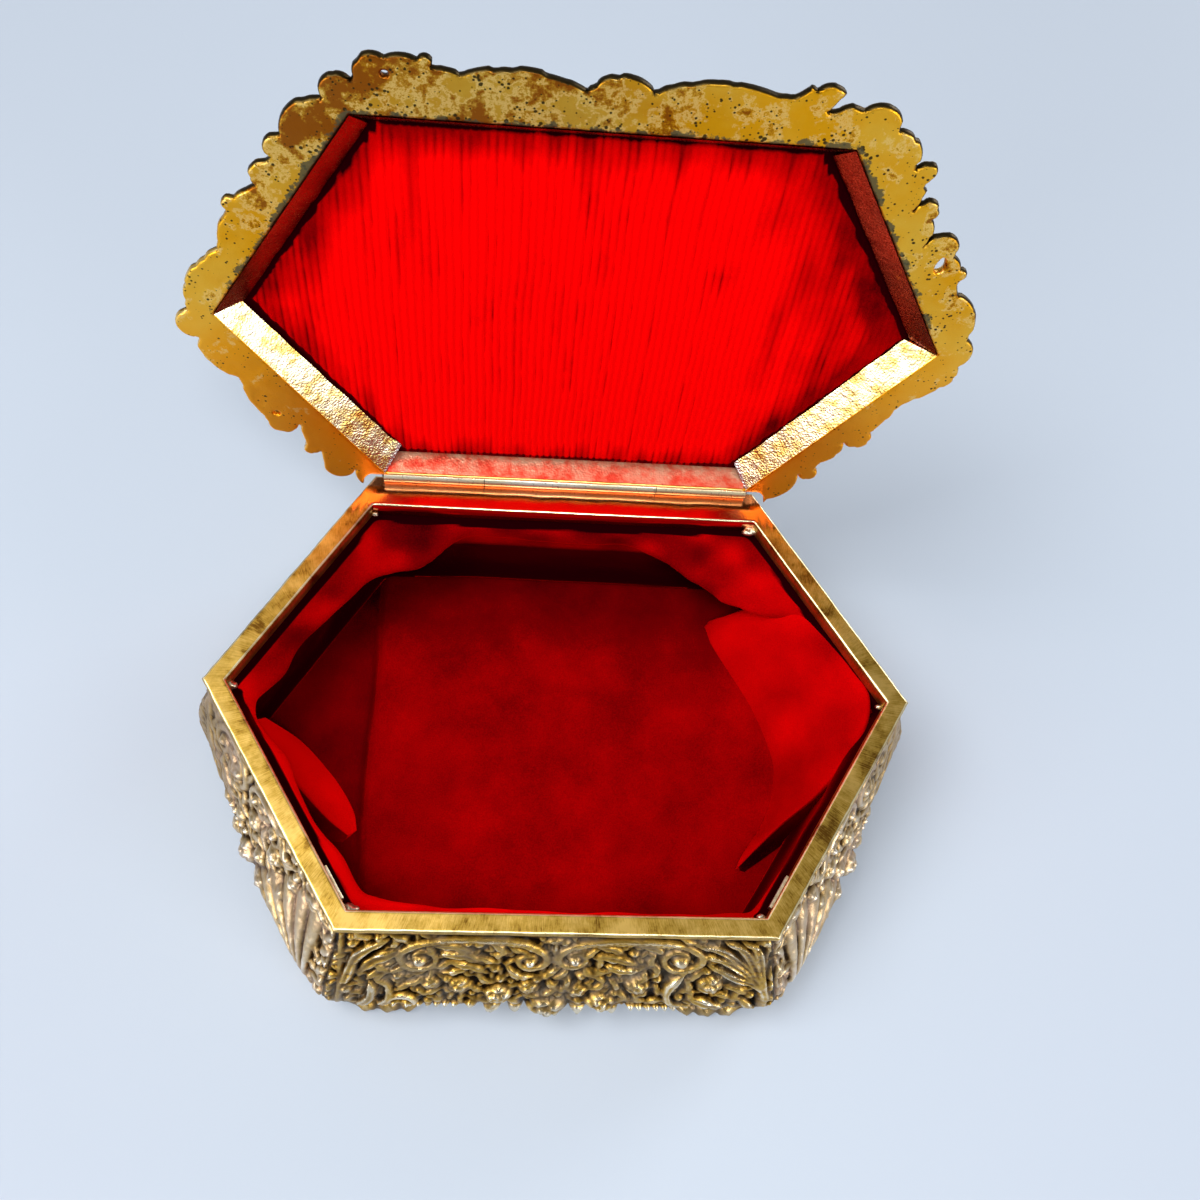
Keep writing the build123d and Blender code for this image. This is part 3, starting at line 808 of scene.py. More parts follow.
@dataclass(frozen=True)
class HammeredGilt:
    """Gilt on thin sheet brass, beaten with a small hammer and burnished.

    Its fine dents break the highlight into bright grains, here and there the gilding is thin, and its
    cut ends carry a painted white highlight. A metallic share below 1 gives it a dull film that scatters
    light.
    """

    name: str = "beaten_gilt"
    gold: str = "#F0C870"
    pale: str = "#FFF0C8"
    thin: str = "#D0883A"
    rubbed_and_highlit: str = "#FFFFFF"
    cloud_mm: float = 3.6
    dent_mm: float = 0.42
    dent_depth_mm: float = 0.06
    roughness: float = 0.24
    metallic: float = 1.0

    def build(self) -> Material:
        """Lay out its nodes.

        Returns:
            The material.
        """
        paint = Paint(bpy.data.materials.new(self.name))
        cloud = paint.noise(self.cloud_mm, 5.0, 0.65)
        colour = paint.ramp(cloud, (0.3, self.thin), (0.42, self.gold), (0.6, self.pale))
        # Painted white highlight where the relief field is high, on the cut ends
        colour = paint.laid_over(colour, paint.field("relief"), self.rubbed_and_highlit)
        dents = paint.spots(self.dent_mm, Smoothness=0.6)
        return paint.finish(colour, self.roughness, self.metallic, (dents, 0.8, self.dent_depth_mm))


@dataclass(frozen=True)
class Velvet:
    """Red silk velvet, a woven ground with a short cut pile.

    Its colour runs along a value named lean that each piece sets at its points: deep red is the velvet in
    plain light, bright red is a painted sheen, near black is painted shade, and small brushed patches shift
    between deep and bright.
    shows its ends, and small brushed patches shift between the two.
    """

    name: str
    deep: str
    bright: str
    sunk: str = "#1C0003"
    edge: str = "#FF0402"
    sheen: float = 0.6
    brushed_mm: float = 12.0
    brushed_share: float = 0.5
    pile_mm: float = 0.3
    pile_share: float = 0.12
    pile_depth_mm: float = 0.1

    def build(self) -> Material:
        """Lay out its nodes.

        Returns:
            The material.
        """
        paint = Paint(bpy.data.materials.new(self.name))
        pile = paint.noise(self.pile_mm, 1.0)
        lean = paint.mix_in(paint.noise(self.brushed_mm, 4.0, 0.6), self.brushed_share, paint.field("lean"))
        lean = paint.mix_in(pile, self.pile_share, lean)
        upright = (self.brushed_share + self.pile_share) / 2
        # Ramp along lean: near black paints shade, deep red is the velvet's own colour, bright red paints
        # sheen
        colour = paint.ramp(lean, (0.0, self.sunk), (upright, self.deep), (upright + 0.4, self.bright))
        return paint.finish(colour, 0.95, 0.0, (pile, 0.25, self.pile_depth_mm), {
            "Specular IOR Level": 0.0, "Sheen Weight": self.sheen, "Sheen Roughness": 0.35,
            "Sheen Tint": linear(self.edge)})


@dataclass(frozen=True)
class PlainStuff:
    """A plain material, such as board, rolled sheet, drawn wire, tinned brass or solder.

    Its cloudy tone and its grain give the eye the dullness of stuff that was never polished.
    """

    name: str
    tone: str
    dark: str
    metallic: float
    roughness: float
    grain_mm: float
    stretch: tuple[float, float, float] = (1.0, 1.0, 1.0)
    grain_depth_mm: float = 0.05

    def build(self) -> Material:
        """Lay out its nodes.

        Returns:
            The material.
        """
        paint = Paint(bpy.data.materials.new(self.name))
        stretched = paint.vector("MULTIPLY", {0: paint.place, 1: self.stretch})
        grain = paint.noise(self.grain_mm, 4.0, 0.6, stretched)
        colour = paint.ramp(grain, (0.34, self.dark), (0.62, self.tone))
        return paint.finish(colour, self.roughness, self.metallic, (grain, 0.4, self.grain_depth_mm))


# Cast ornament


@dataclass
class Relief:
    """Ornament raised on a flat drawing, over places x along it and y up it, in millimetres."""

    x: np.ndarray
    y: np.ndarray

    def __post_init__(self) -> None:
        """Start with bare ground."""
        self.height = np.zeros(self.x.shape)

    def near(self, x: float, y: float, reach: float) -> np.ndarray:
        """Which places lie within a square about a point."""
        return (np.abs(self.x - x) < reach) & (np.abs(self.y - y) < reach)

    def lift(self, here: np.ndarray, height: np.ndarray) -> None:
        """Raise some places to at least a height."""
        self.height[here] = np.maximum(self.height[here], height)

    def bead(self, x: float, y: float, radius: float, height: float) -> None:
        """Raise a round bead."""
        here = self.near(x, y, radius)
        away = np.hypot(self.x[here] - x, self.y[here] - y) / radius
        self.lift(here, height * np.sqrt(np.clip(1 - away**2, 0, 1)))

    def sink(self, x: float, y: float, radius: float, depth: float) -> None:
        """Press a soft round hollow."""
        here = self.near(x, y, radius)
        away = np.hypot(self.x[here] - x, self.y[here] - y) / radius
        self.height[here] -= depth * np.clip(1 - away**2, 0, 1)

    def rose(self, x: float, y: float, radius: float, height: float, turn: float = 0.0) -> None:
        """Raise a rose: a domed bloom with a spiral heart and five outer petals.

        Args:
            x: the rose's place along the drawing.
            y: its place up the drawing.
            radius: its radius.
            height: how high its heart stands.
            turn: how far it is turned, in radians.
        """
        here = self.near(x, y, radius)
        dx, dy = self.x[here] - x, self.y[here] - y
        angle = np.arctan2(dy, dx) + turn
        rim = radius * (0.82 + 0.18 * np.abs(np.cos(2.5 * angle)) ** 0.6)
        away = np.hypot(dx, dy) / rim
        dome = np.sqrt(np.clip(1 - away**2.4, 0, 1))
        heart = np.clip(1 - away / 0.62, 0, 1)
        spiral = np.sin(13 * away - 2 * angle)
        petals = np.abs(np.cos(2.5 * angle + 5 * away))
        bloom = height * (dome * (0.62 + 0.2 * petals) + 0.26 * heart**0.7)
        bloom -= height * 0.2 * (spiral < -0.3) * (away < 0.62)
        self.lift(here, np.where(away < 1, bloom, NOTHING))

    def daisy(self, x: float, y: float, radius: float, height: float, petals: int = 9) -> None:
        """Raise an open flower with separate petals round a sunk heart.

        Args:
            x: the flower's place along the drawing.
            y: its place up the drawing.
            radius: its radius.
            height: how high its petals stand.
            petals: how many there are.
        """
        here = self.near(x, y, radius)
        dx, dy = self.x[here] - x, self.y[here] - y
        away = np.hypot(dx, dy) / radius
        lobes = np.abs(np.cos(np.arctan2(dy, dx) * petals / 2))
        flower = height * np.sqrt(np.clip(1 - away**2, 0, 1)) * (0.35 + 0.65 * lobes**0.7)
        flower = np.where(away < 0.3, height * (0.35 + 1.2 * away), flower)
        self.lift(here, np.where(away < 1, flower, NOTHING))

    def stroke(self, path: np.ndarray, widths: np.ndarray, height: float, groove: float = 0.0) -> None:
        """Raise a rounded band along a path.

        Args:
            path: the band's middle line.
            widths: its half width at each of the path's points.
            height: its height at full width.
            groove: share of the height that a groove along its middle takes away.
        """
        reach = widths.max() + 0.3
        low, high = path.min(0) - reach, path.max(0) + reach
        here = (self.x > low[0]) & (self.x < high[0]) & (self.y > low[1]) & (self.y < high[1])
        px, py = self.x[here], self.y[here]
        best = np.full(px.shape, NOTHING)
        for a, b, wide_a, wide_b in zip(path[:-1], path[1:], widths[:-1], widths[1:]):
            run = b - a
            share = ((px - a[0]) * run[0] + (py - a[1]) * run[1]) / max(run @ run, 1e-9)
            share = np.clip(share, 0, 1)
            wide = wide_a + (wide_b - wide_a) * share
            away = np.hypot(px - a[0] - run[0] * share, py - a[1] - run[1] * share) / wide
            band = height * np.sqrt(np.clip(1 - away**2, 0, 1)) * (wide / widths.max()) ** 0.5
            band -= height * groove * np.exp(-((away / 0.28) ** 2))
            best = np.maximum(best, np.where(away < 1, band, NOTHING))
        self.lift(here, best)

    def leaf(self, points: list[tuple[float, float]], width: float, height: float, lobes: int = 3) -> None:
        """Raise an acanthus leaf along a bent midrib.

        Args:
            points: the midrib, from the leaf's root to its tip.
            width: half its greatest width.
            height: its height.
            lobes: how many lobes each edge has.
        """
        path = curve_through(points, 28)
        share = np.linspace(0, 1, len(path))
        wide = width * np.sin(np.pi * np.clip(share, 0.02, 0.98) ** 0.7) ** 0.6
        wide *= 0.76 + 0.24 * np.abs(np.cos(np.pi * lobes * share))
        self.stroke(path, np.maximum(wide, 0.12), height, groove=0.34)
        normal = directions(path)[:, ::-1] * (-1, 1)
        for way in (-1, 1):
            vein = path + normal * way * wide[:, None] * 0.52
            self.stroke(vein, np.maximum(wide * 0.3, 0.1), height * 1.12)

    def fan(self, x: float, y: float, start: float, end: float, length: float, height: float,
            flutes: int = 5) -> None:
        """Raise a fluted fan leaf that spreads from a root.

        Args:
            x: the root's place along the drawing.
            y: its place up the drawing.
            start: direction of one edge, in degrees.
            end: direction of the other edge, in degrees.
            length: the fan's length.
            height: its height.
            flutes: how many flutes it has.
        """
        here = self.near(x, y, length)
        dx, dy = self.x[here] - x, self.y[here] - y
        share = (np.degrees(np.arctan2(dy, dx)) % 360 - start) / (end - start)
        flute = np.abs(np.sin(np.pi * flutes * share)) ** 0.7
        away = np.hypot(dx, dy) / (length * (0.88 + 0.12 * flute))
        ridge = height * (0.25 + 0.75 * flute) * step(away, 0.0, 0.35) * np.sqrt(np.clip(1 - away**6, 0, 1))
        inside = (share > 0) & (share < 1) & (away < 1)
        self.lift(here, np.where(inside, ridge, NOTHING))

    def fill(self, low: float, high: float, pitch: float, height: float, seed: int) -> None:
        """Raise small bent leaves and buds wherever the ground is still bare.

        Args:
            low: the lowest place up the drawing.
            high: the highest place.
            pitch: about how far apart they are.
            height: how high they stand.
            seed: chooses how they lie.
        """
        draw = np.random.default_rng(seed)
        for x in np.arange(self.x.min() + pitch, self.x.max() - pitch / 2, pitch):
            for y in np.arange(low, high, pitch * 0.8):
                px, py = np.array((x, y)) + draw.uniform(-0.35, 0.35, 2) * pitch
                turn, bend, kind = draw.uniform(0, 2 * math.pi), draw.uniform(-0.9, 0.9), draw.random()
                here = self.near(px, py, pitch * 0.3)
                if not here.any() or self.height[here].mean() > 0.3:
                    continue
                if kind < 0.3:
                    self.rose(px, py, pitch * 0.42, height * 1.15, turn=turn)
                    continue
                ways = np.array([(math.cos(a), math.sin(a)) for a in (turn, turn + bend)])
                middle = np.array((px, py))
                points = [middle - ways[0] * pitch * 0.8, middle, middle + ways[1] * pitch * 0.8]
                self.leaf(points, pitch * 0.3, height, 2)

    def scroll(self, x: float, y: float, half_width: float, rise: float, height: float,
               eyes: tuple[float, float] = (3.4, 3.4), band: float = 1.25) -> None:
        """Raise a C-scroll: an arch whose two ends wind into eyes.

        Args:
            x: the arch's middle.
            y: the height of its springing.
            half_width: half its width.
            rise: the arch's rise.
            height: how high it stands.
            eyes: the winding radius at its left and right ends.
            band: half the width of its band at the crown.
        """
        angles = np.linspace(math.pi, 0, 40)
        arch = np.stack([x + half_width * np.cos(angles), y + rise * np.sin(angles)], 1)
        ends = []
        for way, radius in ((-1, eyes[0]), (1, eyes[1])):
            turn = np.linspace(0, 2.3 * math.pi, 34)
            shrink = radius * (1 - 0.72 * turn / turn[-1])
            centre = x + way * (half_width - radius)
            ends.append(np.stack([centre + way * shrink * np.cos(turn), y - shrink * np.sin(turn)], 1))
            self.bead(centre, y, radius * 0.42, height * 1.25)
        path = np.vstack([ends[0][::-1], arch[1:-1], ends[1]])
        middle = len(ends[0]) + 19
        share = np.abs(np.arange(len(path)) - middle) / middle
        self.stroke(path, band * (1 - 0.62 * share), height, groove=0.4)


def patina_and_painted_light(heights: np.ndarray, scale: float) -> np.ndarray:
    """How worn each place on a grid is, which also sets its painted light: from 0 in the hollows, painted
    dark as shade, to 1 on the ridges, painted as a highlight.

    Args:
        heights: ornament heights on a grid.
        scale: height that counts as a full step above the surroundings.

    Returns:
        The share for each place.
    """
    wide = softened(heights, 14)
    return np.clip(0.27 + 0.22 * heights / (2 * scale) + 1.1 * (heights - wide) / scale, 0, 1)


# Case


@dataclass(frozen=True)
class CaseSizes:
    """Sizes of the case, read from the frame or named here, in millimetres."""

    half_width: float
    half_depth: float
    straight_half: float
    rim_top: float
    rim_under: float
    foot_height: float
    barrel_end_set: float = 2.1
    rim_width: float = 3.9
    rim_back_width: float = 7.3
    lip_thick: float = 0.8
    lip_drop: float = 1.6

    @classmethod
    def from_frame(cls) -> "CaseSizes":
        """Read the sizes that the frame gives.

        Returns:
            All the case's sizes.
        """
        low, high = box_mm("rim_frame")
        leaf_high = box_mm("base_hinge_leaf")[1]
        panel_low, panel_high = box_mm("front_panel")
        return cls(half_width=high[0], half_depth=-low[1], straight_half=leaf_high[0] + cls.barrel_end_set,
                   rim_top=high[2], rim_under=panel_high[2], foot_height=panel_low[2])

    def outline(self) -> Outline:
        """The rim's outer outline."""
        across, deep, straight = self.half_width, self.half_depth, self.straight_half
        return Outline(((-straight, -deep), (straight, -deep), (across, 0.0),
                        (straight, deep), (-straight, deep), (-across, 0.0)))

    def well(self) -> Outline:
        """The outline of the rim's inner edge."""
        return self.outline().moved(with_back(-self.rim_width, -self.rim_back_width))


@dataclass
class SidePanels:
    """The six cast panels, each hollow behind, with scrolls, roses and leaves in relief."""

    case: CaseSizes
    set_back: float = 0.6
    neck_reach: float = 0.6
    neck_drop: float = 6.0
    belly_reach: float = 7.0
    belly_height: float = 7.5
    hem_reach: float = 5.6
    wall: float = 2.2
    grid: float = 0.26
    most_relief: float = 3.5
    widest: float = 78.2
    corner_pull: float = 3.0
    calm_mm: float = 44.0
    calm_share: float = 0.7
    fill_low: float = 9.5
    mitre_share: float = 0.012
    patina_step: float = 1.3
    hidden_patina: float = 0.2

    def section(self) -> np.ndarray:
        """The outside of a panel's section, from the hem up, as reach and height at even steps."""
        foot, top = self.case.foot_height, self.case.rim_under
        bends = [(self.hem_reach, foot), (self.belly_reach - 0.3, foot + self.belly_height * 0.45),
                 (self.belly_reach, foot + self.belly_height), (4.9, foot + 14.0), (2.4, foot + 20.0),
                 (self.neck_reach, top - self.neck_drop), (-0.4, top - 3.0), (-self.set_back, top)]
        return resampled(curve_through(bends, 400), self.grid)

    def straight_ornament(self, relief: Relief, half: float) -> None:
        """Two wide C-scrolls over a swag of roses, with leaves at both ends.

        Args:
            relief: the drawing, with x from the side's middle and y up from the table.
            half: half the side's length.
        """
        relief.scroll(-15.2, 25.4, 13.6, 7.2, 1.7, eyes=(3.9, 3.1))
        relief.scroll(14.0, 26.2, 13.5, 6.6, 1.7, eyes=(3.0, 4.2))
        for points, width in (
            ([(-23, 30), (-18.5, 29.6), (-14.5, 26.2)], 1.3), ([(-21, 27), (-16.5, 26.6), (-13, 23.4)], 1.5),
            ([(-19, 24), (-15.5, 23.4), (-12.4, 20.6)], 1.3), ([(-12, 31), (-10, 29), (-9.2, 26)], 1.1),
            ([(7.2, 30.6), (10.4, 29.6), (13.4, 26.8)], 1.3), ([(8, 27), (12, 26.4), (16.2, 23.6)], 1.5),
            ([(15, 31.2), (18.4, 30.2), (20, 27.4)], 1.3), ([(9.6, 23.6), (13.4, 22.6), (17, 22.8)], 1.2),
            ([(18.6, 25), (19.4, 22.4), (18.2, 20.2)], 1.0), ([(-8.8, 22.6), (-6.6, 20.6), (-3.4, 20)], 1.1),
            ([(0, 33), (-0.2, 27), (0, 21)], 0.6),
        ):
            relief.leaf(points, width, 1.35)
        for x, y, radius, height in (
            (-17.6, 17.2, 2.7, 2.2), (-10.4, 14.4, 3.1, 2.7), (-0.8, 9.6, 4.4, 3.5), (9.4, 12.2, 3.4, 3.0),
            (16.0, 18.0, 2.8, 2.3), (30.0, 18.4, 2.9, 2.3), (4.6, 16.0, 2.4, 2.0), (-4.6, 16.8, 2.3, 1.9),
            (-23.2, 17.6, 2.2, 1.7), (22.6, 17.8, 1.8, 1.6),
        ):
            relief.rose(x, y, radius, height, turn=x)
        for x, y, radius, height in (
            (-11.4, 8.6, 2.0, 3.0), (-6.8, 6.4, 1.7, 3.0), (5.4, 6.6, 1.8, 3.2), (12.0, 7.6, 1.6, 2.9),
            (-2.2, 5.2, 1.4, 3.2), (-15.4, 10.6, 1.5, 2.2), (2.0, 5.0, 1.3, 3.2),
        ):
            relief.rose(x, y, radius, height, turn=2 * x)
        for i in range(6):
            relief.bead(15.6 + 1.7 * i, 9.6 - 0.2 * i, 0.85, 2.0)
            relief.bead(-18.6 - 1.7 * i, 9.2 - 0.2 * i, 0.85, 1.8)
        # Left end: a hollow shell that curls down to the corner
        relief.leaf([(-31, 31), (-36, 27), (-38.6, 20), (-41, 12)], 1.5, 1.7)
        relief.leaf([(-28.6, 28), (-33.4, 25), (-37, 20)], 1.9, 1.5)
        relief.leaf([(-37, 9.4), (-34.4, 13.6), (-34.6, 18.2)], 1.5, 1.9, 1)
        relief.leaf([(-33.4, 8.0), (-31.0, 13.0), (-31.6, 18.4)], 1.3, 1.7, 1)
        relief.sink(-38.7, 15.6, 2.4, 0.8)
        relief.bead(-39.2, 15.0, 1.2, 1.3)
        relief.scroll(-28.8, 10.4, 2.6, 3.0, 1.9, eyes=(1.3, 1.3), band=0.8)
        # Right end: a bundle of leaves that sweeps down to the corner
        for i, (x, y) in enumerate(((25.4, 31.6), (27.8, 28.0), (29.2, 24.4), (31.4, 32.2), (34.6, 32.6))):
            relief.leaf([(x, y), (x + 6.6 - i, y - 2.6), (40.4, 17.4), (42.4, 8.4)], 1.25, 1.8)
        relief.sink(38.6, 31.2, 2.0, 0.9)
        relief.leaf([(24.6, 22.2), (22.0, 17.6), (22.8, 12.4), (26.6, 9.4)], 1.2, 1.9, 1)
        relief.leaf([(27.0, 13.6), (31.0, 12.0), (35.6, 8.6)], 1.7, 1.9)
        relief.leaf([(36.6, 14.0), (38.8, 11.0), (41.0, 6.6)], 1.3, 1.6)
        for x in (-half + 1.2, half - 1.2):
            edge = curve_through([(x, 33), (x * 1.02, 20), (x * 1.06, 5)], 20)
            relief.stroke(edge, np.linspace(0.6, 1.0, len(edge)), 1.0)

    def slanted_ornament(self, relief: Relief, half: float, way: int) -> None:
        """Flowers and volutes along the side, with a fluted fan at the straight side's corner.

        Args:
            relief: the drawing, with x from the side's middle and y up from the table.
            half: half the side's length.
            way: 1 where the fan stands at the side's end, -1 where it stands at its start.
        """
        drawing = Relief(relief.x * way, relief.y)
        drawing.fan(half - 0.4, 5.0, 98, 172, 26.0, 1.9, 6)
        drawing.leaf([(17.6, 29), (21.4, 31), (26, 30.4)], 1.5, 1.5)
        drawing.scroll(-14.4, 26.4, 6.6, 5.6, 1.8, eyes=(2.6, 2.6), band=1.1)
        drawing.scroll(0.6, 28.4, 6.2, 4.4, 1.6, eyes=(2.2, 2.2), band=1.0)
        drawing.daisy(-11.6, 23.6, 3.6, 2.3)
        drawing.leaf([(-26.4, 31), (-25.4, 26), (-20.4, 22.6)], 1.7, 1.7)
        drawing.leaf([(-25.6, 24), (-22.6, 18), (-17.6, 15.4)], 1.6, 1.6)
        drawing.leaf([(-16.6, 20.4), (-12.4, 18), (-8.4, 19.4)], 1.3, 1.5)
        drawing.leaf([(6.6, 31.4), (9.6, 28), (13.6, 30.4)], 1.3, 1.5)
        for x, y, radius, height in (
            (-6.4, 17.4, 2.3, 2.0), (-1.6, 22.8, 2.5, 2.2), (6.8, 24.4, 2.7, 2.4), (3.6, 17.6, 2.4, 2.2),
            (8.8, 18.4, 2.2, 2.0), (13.6, 25.6, 2.1, 1.9), (-0.8, 11.6, 3.2, 3.2), (6.0, 11.8, 2.5, 2.6),
            (-7.0, 10.2, 2.4, 2.6), (12.2, 19.4, 2.0, 1.8), (11.4, 12.2, 2.0, 2.1), (-13.6, 11.0, 2.0, 2.3),
            (2.8, 6.6, 1.7, 2.8), (-3.8, 6.4, 1.6, 2.8),
        ):
            drawing.rose(x, y, radius, height, turn=x + y)
        for i in range(5):
            drawing.bead(-10.4 + 1.9 * i, 13.8 + 0.7 * i, 0.9, 1.9)
            drawing.bead(14.6 + 0.4 * i, 16.4 - 1.9 * i, 0.85, 1.7)
            drawing.bead(-19.4 - 1.7 * i, 10.6 - 0.4 * i, 0.9, 1.7)
        drawing.leaf([(-17.4, 8), (-20.6, 12.6), (-26.4, 13.4)], 1.5, 1.7)
        relief.height = np.maximum(relief.height, drawing.height)

    def calm(self, side: Side, share: np.ndarray, length: float) -> np.ndarray:
        """How much a side's swell and ornament die away towards the case's left or right tip, 0 to 1."""
        from_tip = length * (share if side in SIDES_FROM_TIP else 1 - share)
        return (side not in STRAIGHT_SIDES) * (1 - step(from_tip, 0.0, self.calm_mm)) ** 1.5

    def build(self, straight: Material, slanted: Material) -> None:
        """Make all six panels.

        Args:
            straight: the cast metal of the front and back.
            slanted: the cast metal of the slanted sides, a copy that is partly a paler, more matte tone and
                partly painted light from the side.
        """
        outline = self.case.outline()
        section = self.section()
        reach, height = section.T
        tangent = directions(section)
        inner_reach, inner_height = reach[::-14] - self.wall, height[::-14]
        for side in Side:
            half = outline.length(side) / 2
            share = np.linspace(0, 1, int(2 * half / self.grid))[:, None]
            slides = outline.slide(side - 1) + outline.slide(side)
            x = (share - 0.5) * (2 * half + slides * reach)
            y = np.broadcast_to(height, x.shape)
            relief = Relief(x, y)
            if side in STRAIGHT_SIDES:
                finish = straight
                self.straight_ornament(relief, half)
            else:
                finish = slanted
                self.slanted_ornament(relief, half, 1 if side in SIDES_FROM_TIP else -1)
            relief.fill(self.fill_low, height[-1] - 1.5, 3.1, 1.15, side + 60)
            relief.fill(self.fill_low, height[-1] - 1.0, 1.9, 0.8, side + 70)
            ground = 0.14 * uneven(x, y, 2.6, side) + 0.11 * uneven(x, y, 0.8, side + 9)
            lift = softened(relief.height + ground, 1)
            # The ornament runs out where the panel meets its neighbours, the rim and the hem
            fade = step(np.minimum(share, 1 - share), 0, self.mitre_share) * step(height[-1] - y, 0.0, 0.8)
            lift = np.minimum(lift, self.most_relief) * fade * step(y - height[0], -1.0, 2.4)
            calm = self.calm(side, share, 2 * half)
            lift = lift * (1 - self.calm_share * calm)
            pull = self.corner_pull * calm
            out_reach = reach + lift * tangent[:, 1] - pull * (reach / reach.max()) ** 2
            out_height = height - lift * tangent[:, 0]
            inside = inner_reach - pull * ((inner_reach + self.wall) / reach.max()) ** 2
            plan = outline.place(side, share, np.hstack([out_reach, inside]))
            points = np.dstack([plan, np.hstack([out_height, inner_height + 0 * inside])])
            points[..., 0] = np.clip(points[..., 0], -self.widest, self.widest)
            # Wear with painted shade in the hollows and painted highlights on the ridges; the hidden inside
            # gets one fixed value
            rubbed_and_highlit = np.hstack([patina_and_painted_light(lift, self.patina_step), 0 * inside + self.hidden_patina])
            name = side.name.lower()
            panel = make_piece(f"cast_{name}", points, tube_faces(points), Body.CASE, finish,
                               {"relief": rubbed_and_highlit})
            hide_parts(f"{name}_panel")


@dataclass
class Rim:
    """The flat rim with its turned-down lip, a little uneven from filing."""

    case: CaseSizes
    bevel: float = 0.35
    ripple: float = 0.14
    wander: float = 0.16
    step_mm: float = 0.8

    def build(self, finish: Material) -> None:
        """Make the rim as one bar that runs round the case.

        Args:
            finish: the filed metal.
        """
        case, bevel = self.case, self.bevel
        top, under = case.rim_top, case.rim_under
        lip_under = under - case.lip_drop
        share_in = 1 - case.lip_thick / case.rim_width
        # Section corners: share of the rim's width inwards, extra inset, height
        section = [(0.0, 0.1, under), (0.0, 0.0, under + 0.5), (0.0, 0.0, top - bevel),
                   (0.0, 0.12, top - 0.1), (0.0, bevel, top), (0.0, 2 * bevel, top), (0.5, 0.0, top),
                   (1.0, -2 * bevel, top),
                   (1.0, -bevel, top), (1.0, -0.1, top - 0.1),
                   (1.0, 0.0, top - bevel), (1.0, 0.0, lip_under + 0.1), (1.0, -0.1, lip_under),
                   (share_in, 0.0, lip_under), (share_in, 0.0, under)]
        outer_corners, highlit_corners = 5, (3, 4, 8, 9)
        outline = case.outline()
        rings = []
        for width_share, inset, height in section:
            reach = -case.rim_width * width_share - inset
            back = -case.rim_back_width * width_share - inset
            if width_share == share_in:
                back = -(case.rim_back_width - case.lip_thick)
            rings.append((outline.moved(with_back(reach, back)), height))
        columns = []
        for side in Side:
            count = int(outline.length(side) / self.step_mm)
            for i in range(count):
                columns.append([(*ring.between(side, i / count), height) for ring, height in rings])
        points = np.array(columns)
        ripple = uneven(points[..., 0], points[..., 1], 5.0, 3) * 0.5 + 0.5
        on_top = points[..., 2] > top - bevel / 2
        points[..., 2] -= on_top * ripple * self.ripple
        wander = uneven(points[..., 0] + points[..., 1], points[..., 1], 2.2, 4) * 0.5 + 0.5
        outer = np.arange(len(section)) < outer_corners
        centre = np.linalg.norm(points[..., :2], axis=2, keepdims=True)
        points[..., :2] -= points[..., :2] / centre * (wander * outer * self.wander)[..., None]
        run = np.arange(len(points))[:, None] * self.step_mm + 0 * points[..., 0]
        # The bevels' corners carry a painted highlight
        edges = np.isin(np.arange(len(section)), highlit_corners) + 0 * run
        # The back strip that faces the lid is smoother and carries a painted reflection of the velvet
        back_edge = case.half_depth - case.rim_back_width
        back = step(points[..., 1], back_edge - 0.3, back_edge)
        rim = make_piece("filed_rim", points, torus_faces(points), Body.CASE, finish,
                         {"run": run, "relief": edges, "polish": back})
        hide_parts("rim_frame")


# Where the band of velvet lies round the well: place (side number plus share along it), how far its
# roll stands in from the wall, how high the roll's lowest fold is, and how far in it hangs below that
BAND_FOLDS = (
    (0.0, 4.6, 27.0, 1.4), (0.12, 2.7, 28.5, 1.2), (0.35, 2.0, 29.0, 1.0), (0.6, 1.7, 29.0, 1.0),
    (0.85, 2.1, 28.5, 1.0), (1.0, 2.4, 27.0, 1.2), (1.2, 1.6, 28.0, 0.9), (1.42, 1.2, 28.0, 0.8),
    (1.7, 1.4, 27.0, 0.8), (1.86, 1.6, 27.0, 0.9), (2.02, 1.4, 27.0, 0.9), (2.45, 1.2, 27.0, 0.8),
    (2.56, 1.8, 27.0, 0.9), (2.71, 7.3, 25.6, 1.2), (2.86, 10.4, 25.0, 1.4), (3.0, 12.4, 24.6, 1.6),
    (3.17, 6.4, 26.0, 1.4), (3.33, 1.6, 28.0, 1.0), (3.5, 2.2, 27.5, 1.0), (3.75, 1.0, 28.5, 0.7),
    (3.86, 6.2, 26.5, 1.2), (3.94, 9.6, 25.6, 1.4), (4.0, 9.6, 25.4, 1.4), (4.13, 7.0, 26.0, 1.4),
    (4.4, 4.8, 26.5, 1.2), (4.65, 4.0, 26.5, 1.2), (4.9, 4.6, 26.0, 1.2), (5.0, 3.8, 26.5, 1.2),
    (5.1, 1.8, 27.0, 1.0), (5.3, 3.4, 27.0, 1.2), (5.6, 2.4, 28.0, 1.2), (5.8, 3.6, 27.5, 1.2),
)

# Painted light and shade on the band, as lean values at places round the well: lower values paint it darker,
# higher ones paint sheen on it
BAND_PAINTED_LIGHT = ((0, 0.4), (0.3, 0.36), (1.0, 0.26), (1.4, 0.2), (1.7, 0.2), (2.0, 0.24), (2.6, 0.16),
             (3.0, 0.08), (3.3, -0.02), (3.9, -0.02), (4.2, 0.02), (4.8, 0.06), (5.0, 0.3), (5.2, 0.5),
             (6.0, 0.42))


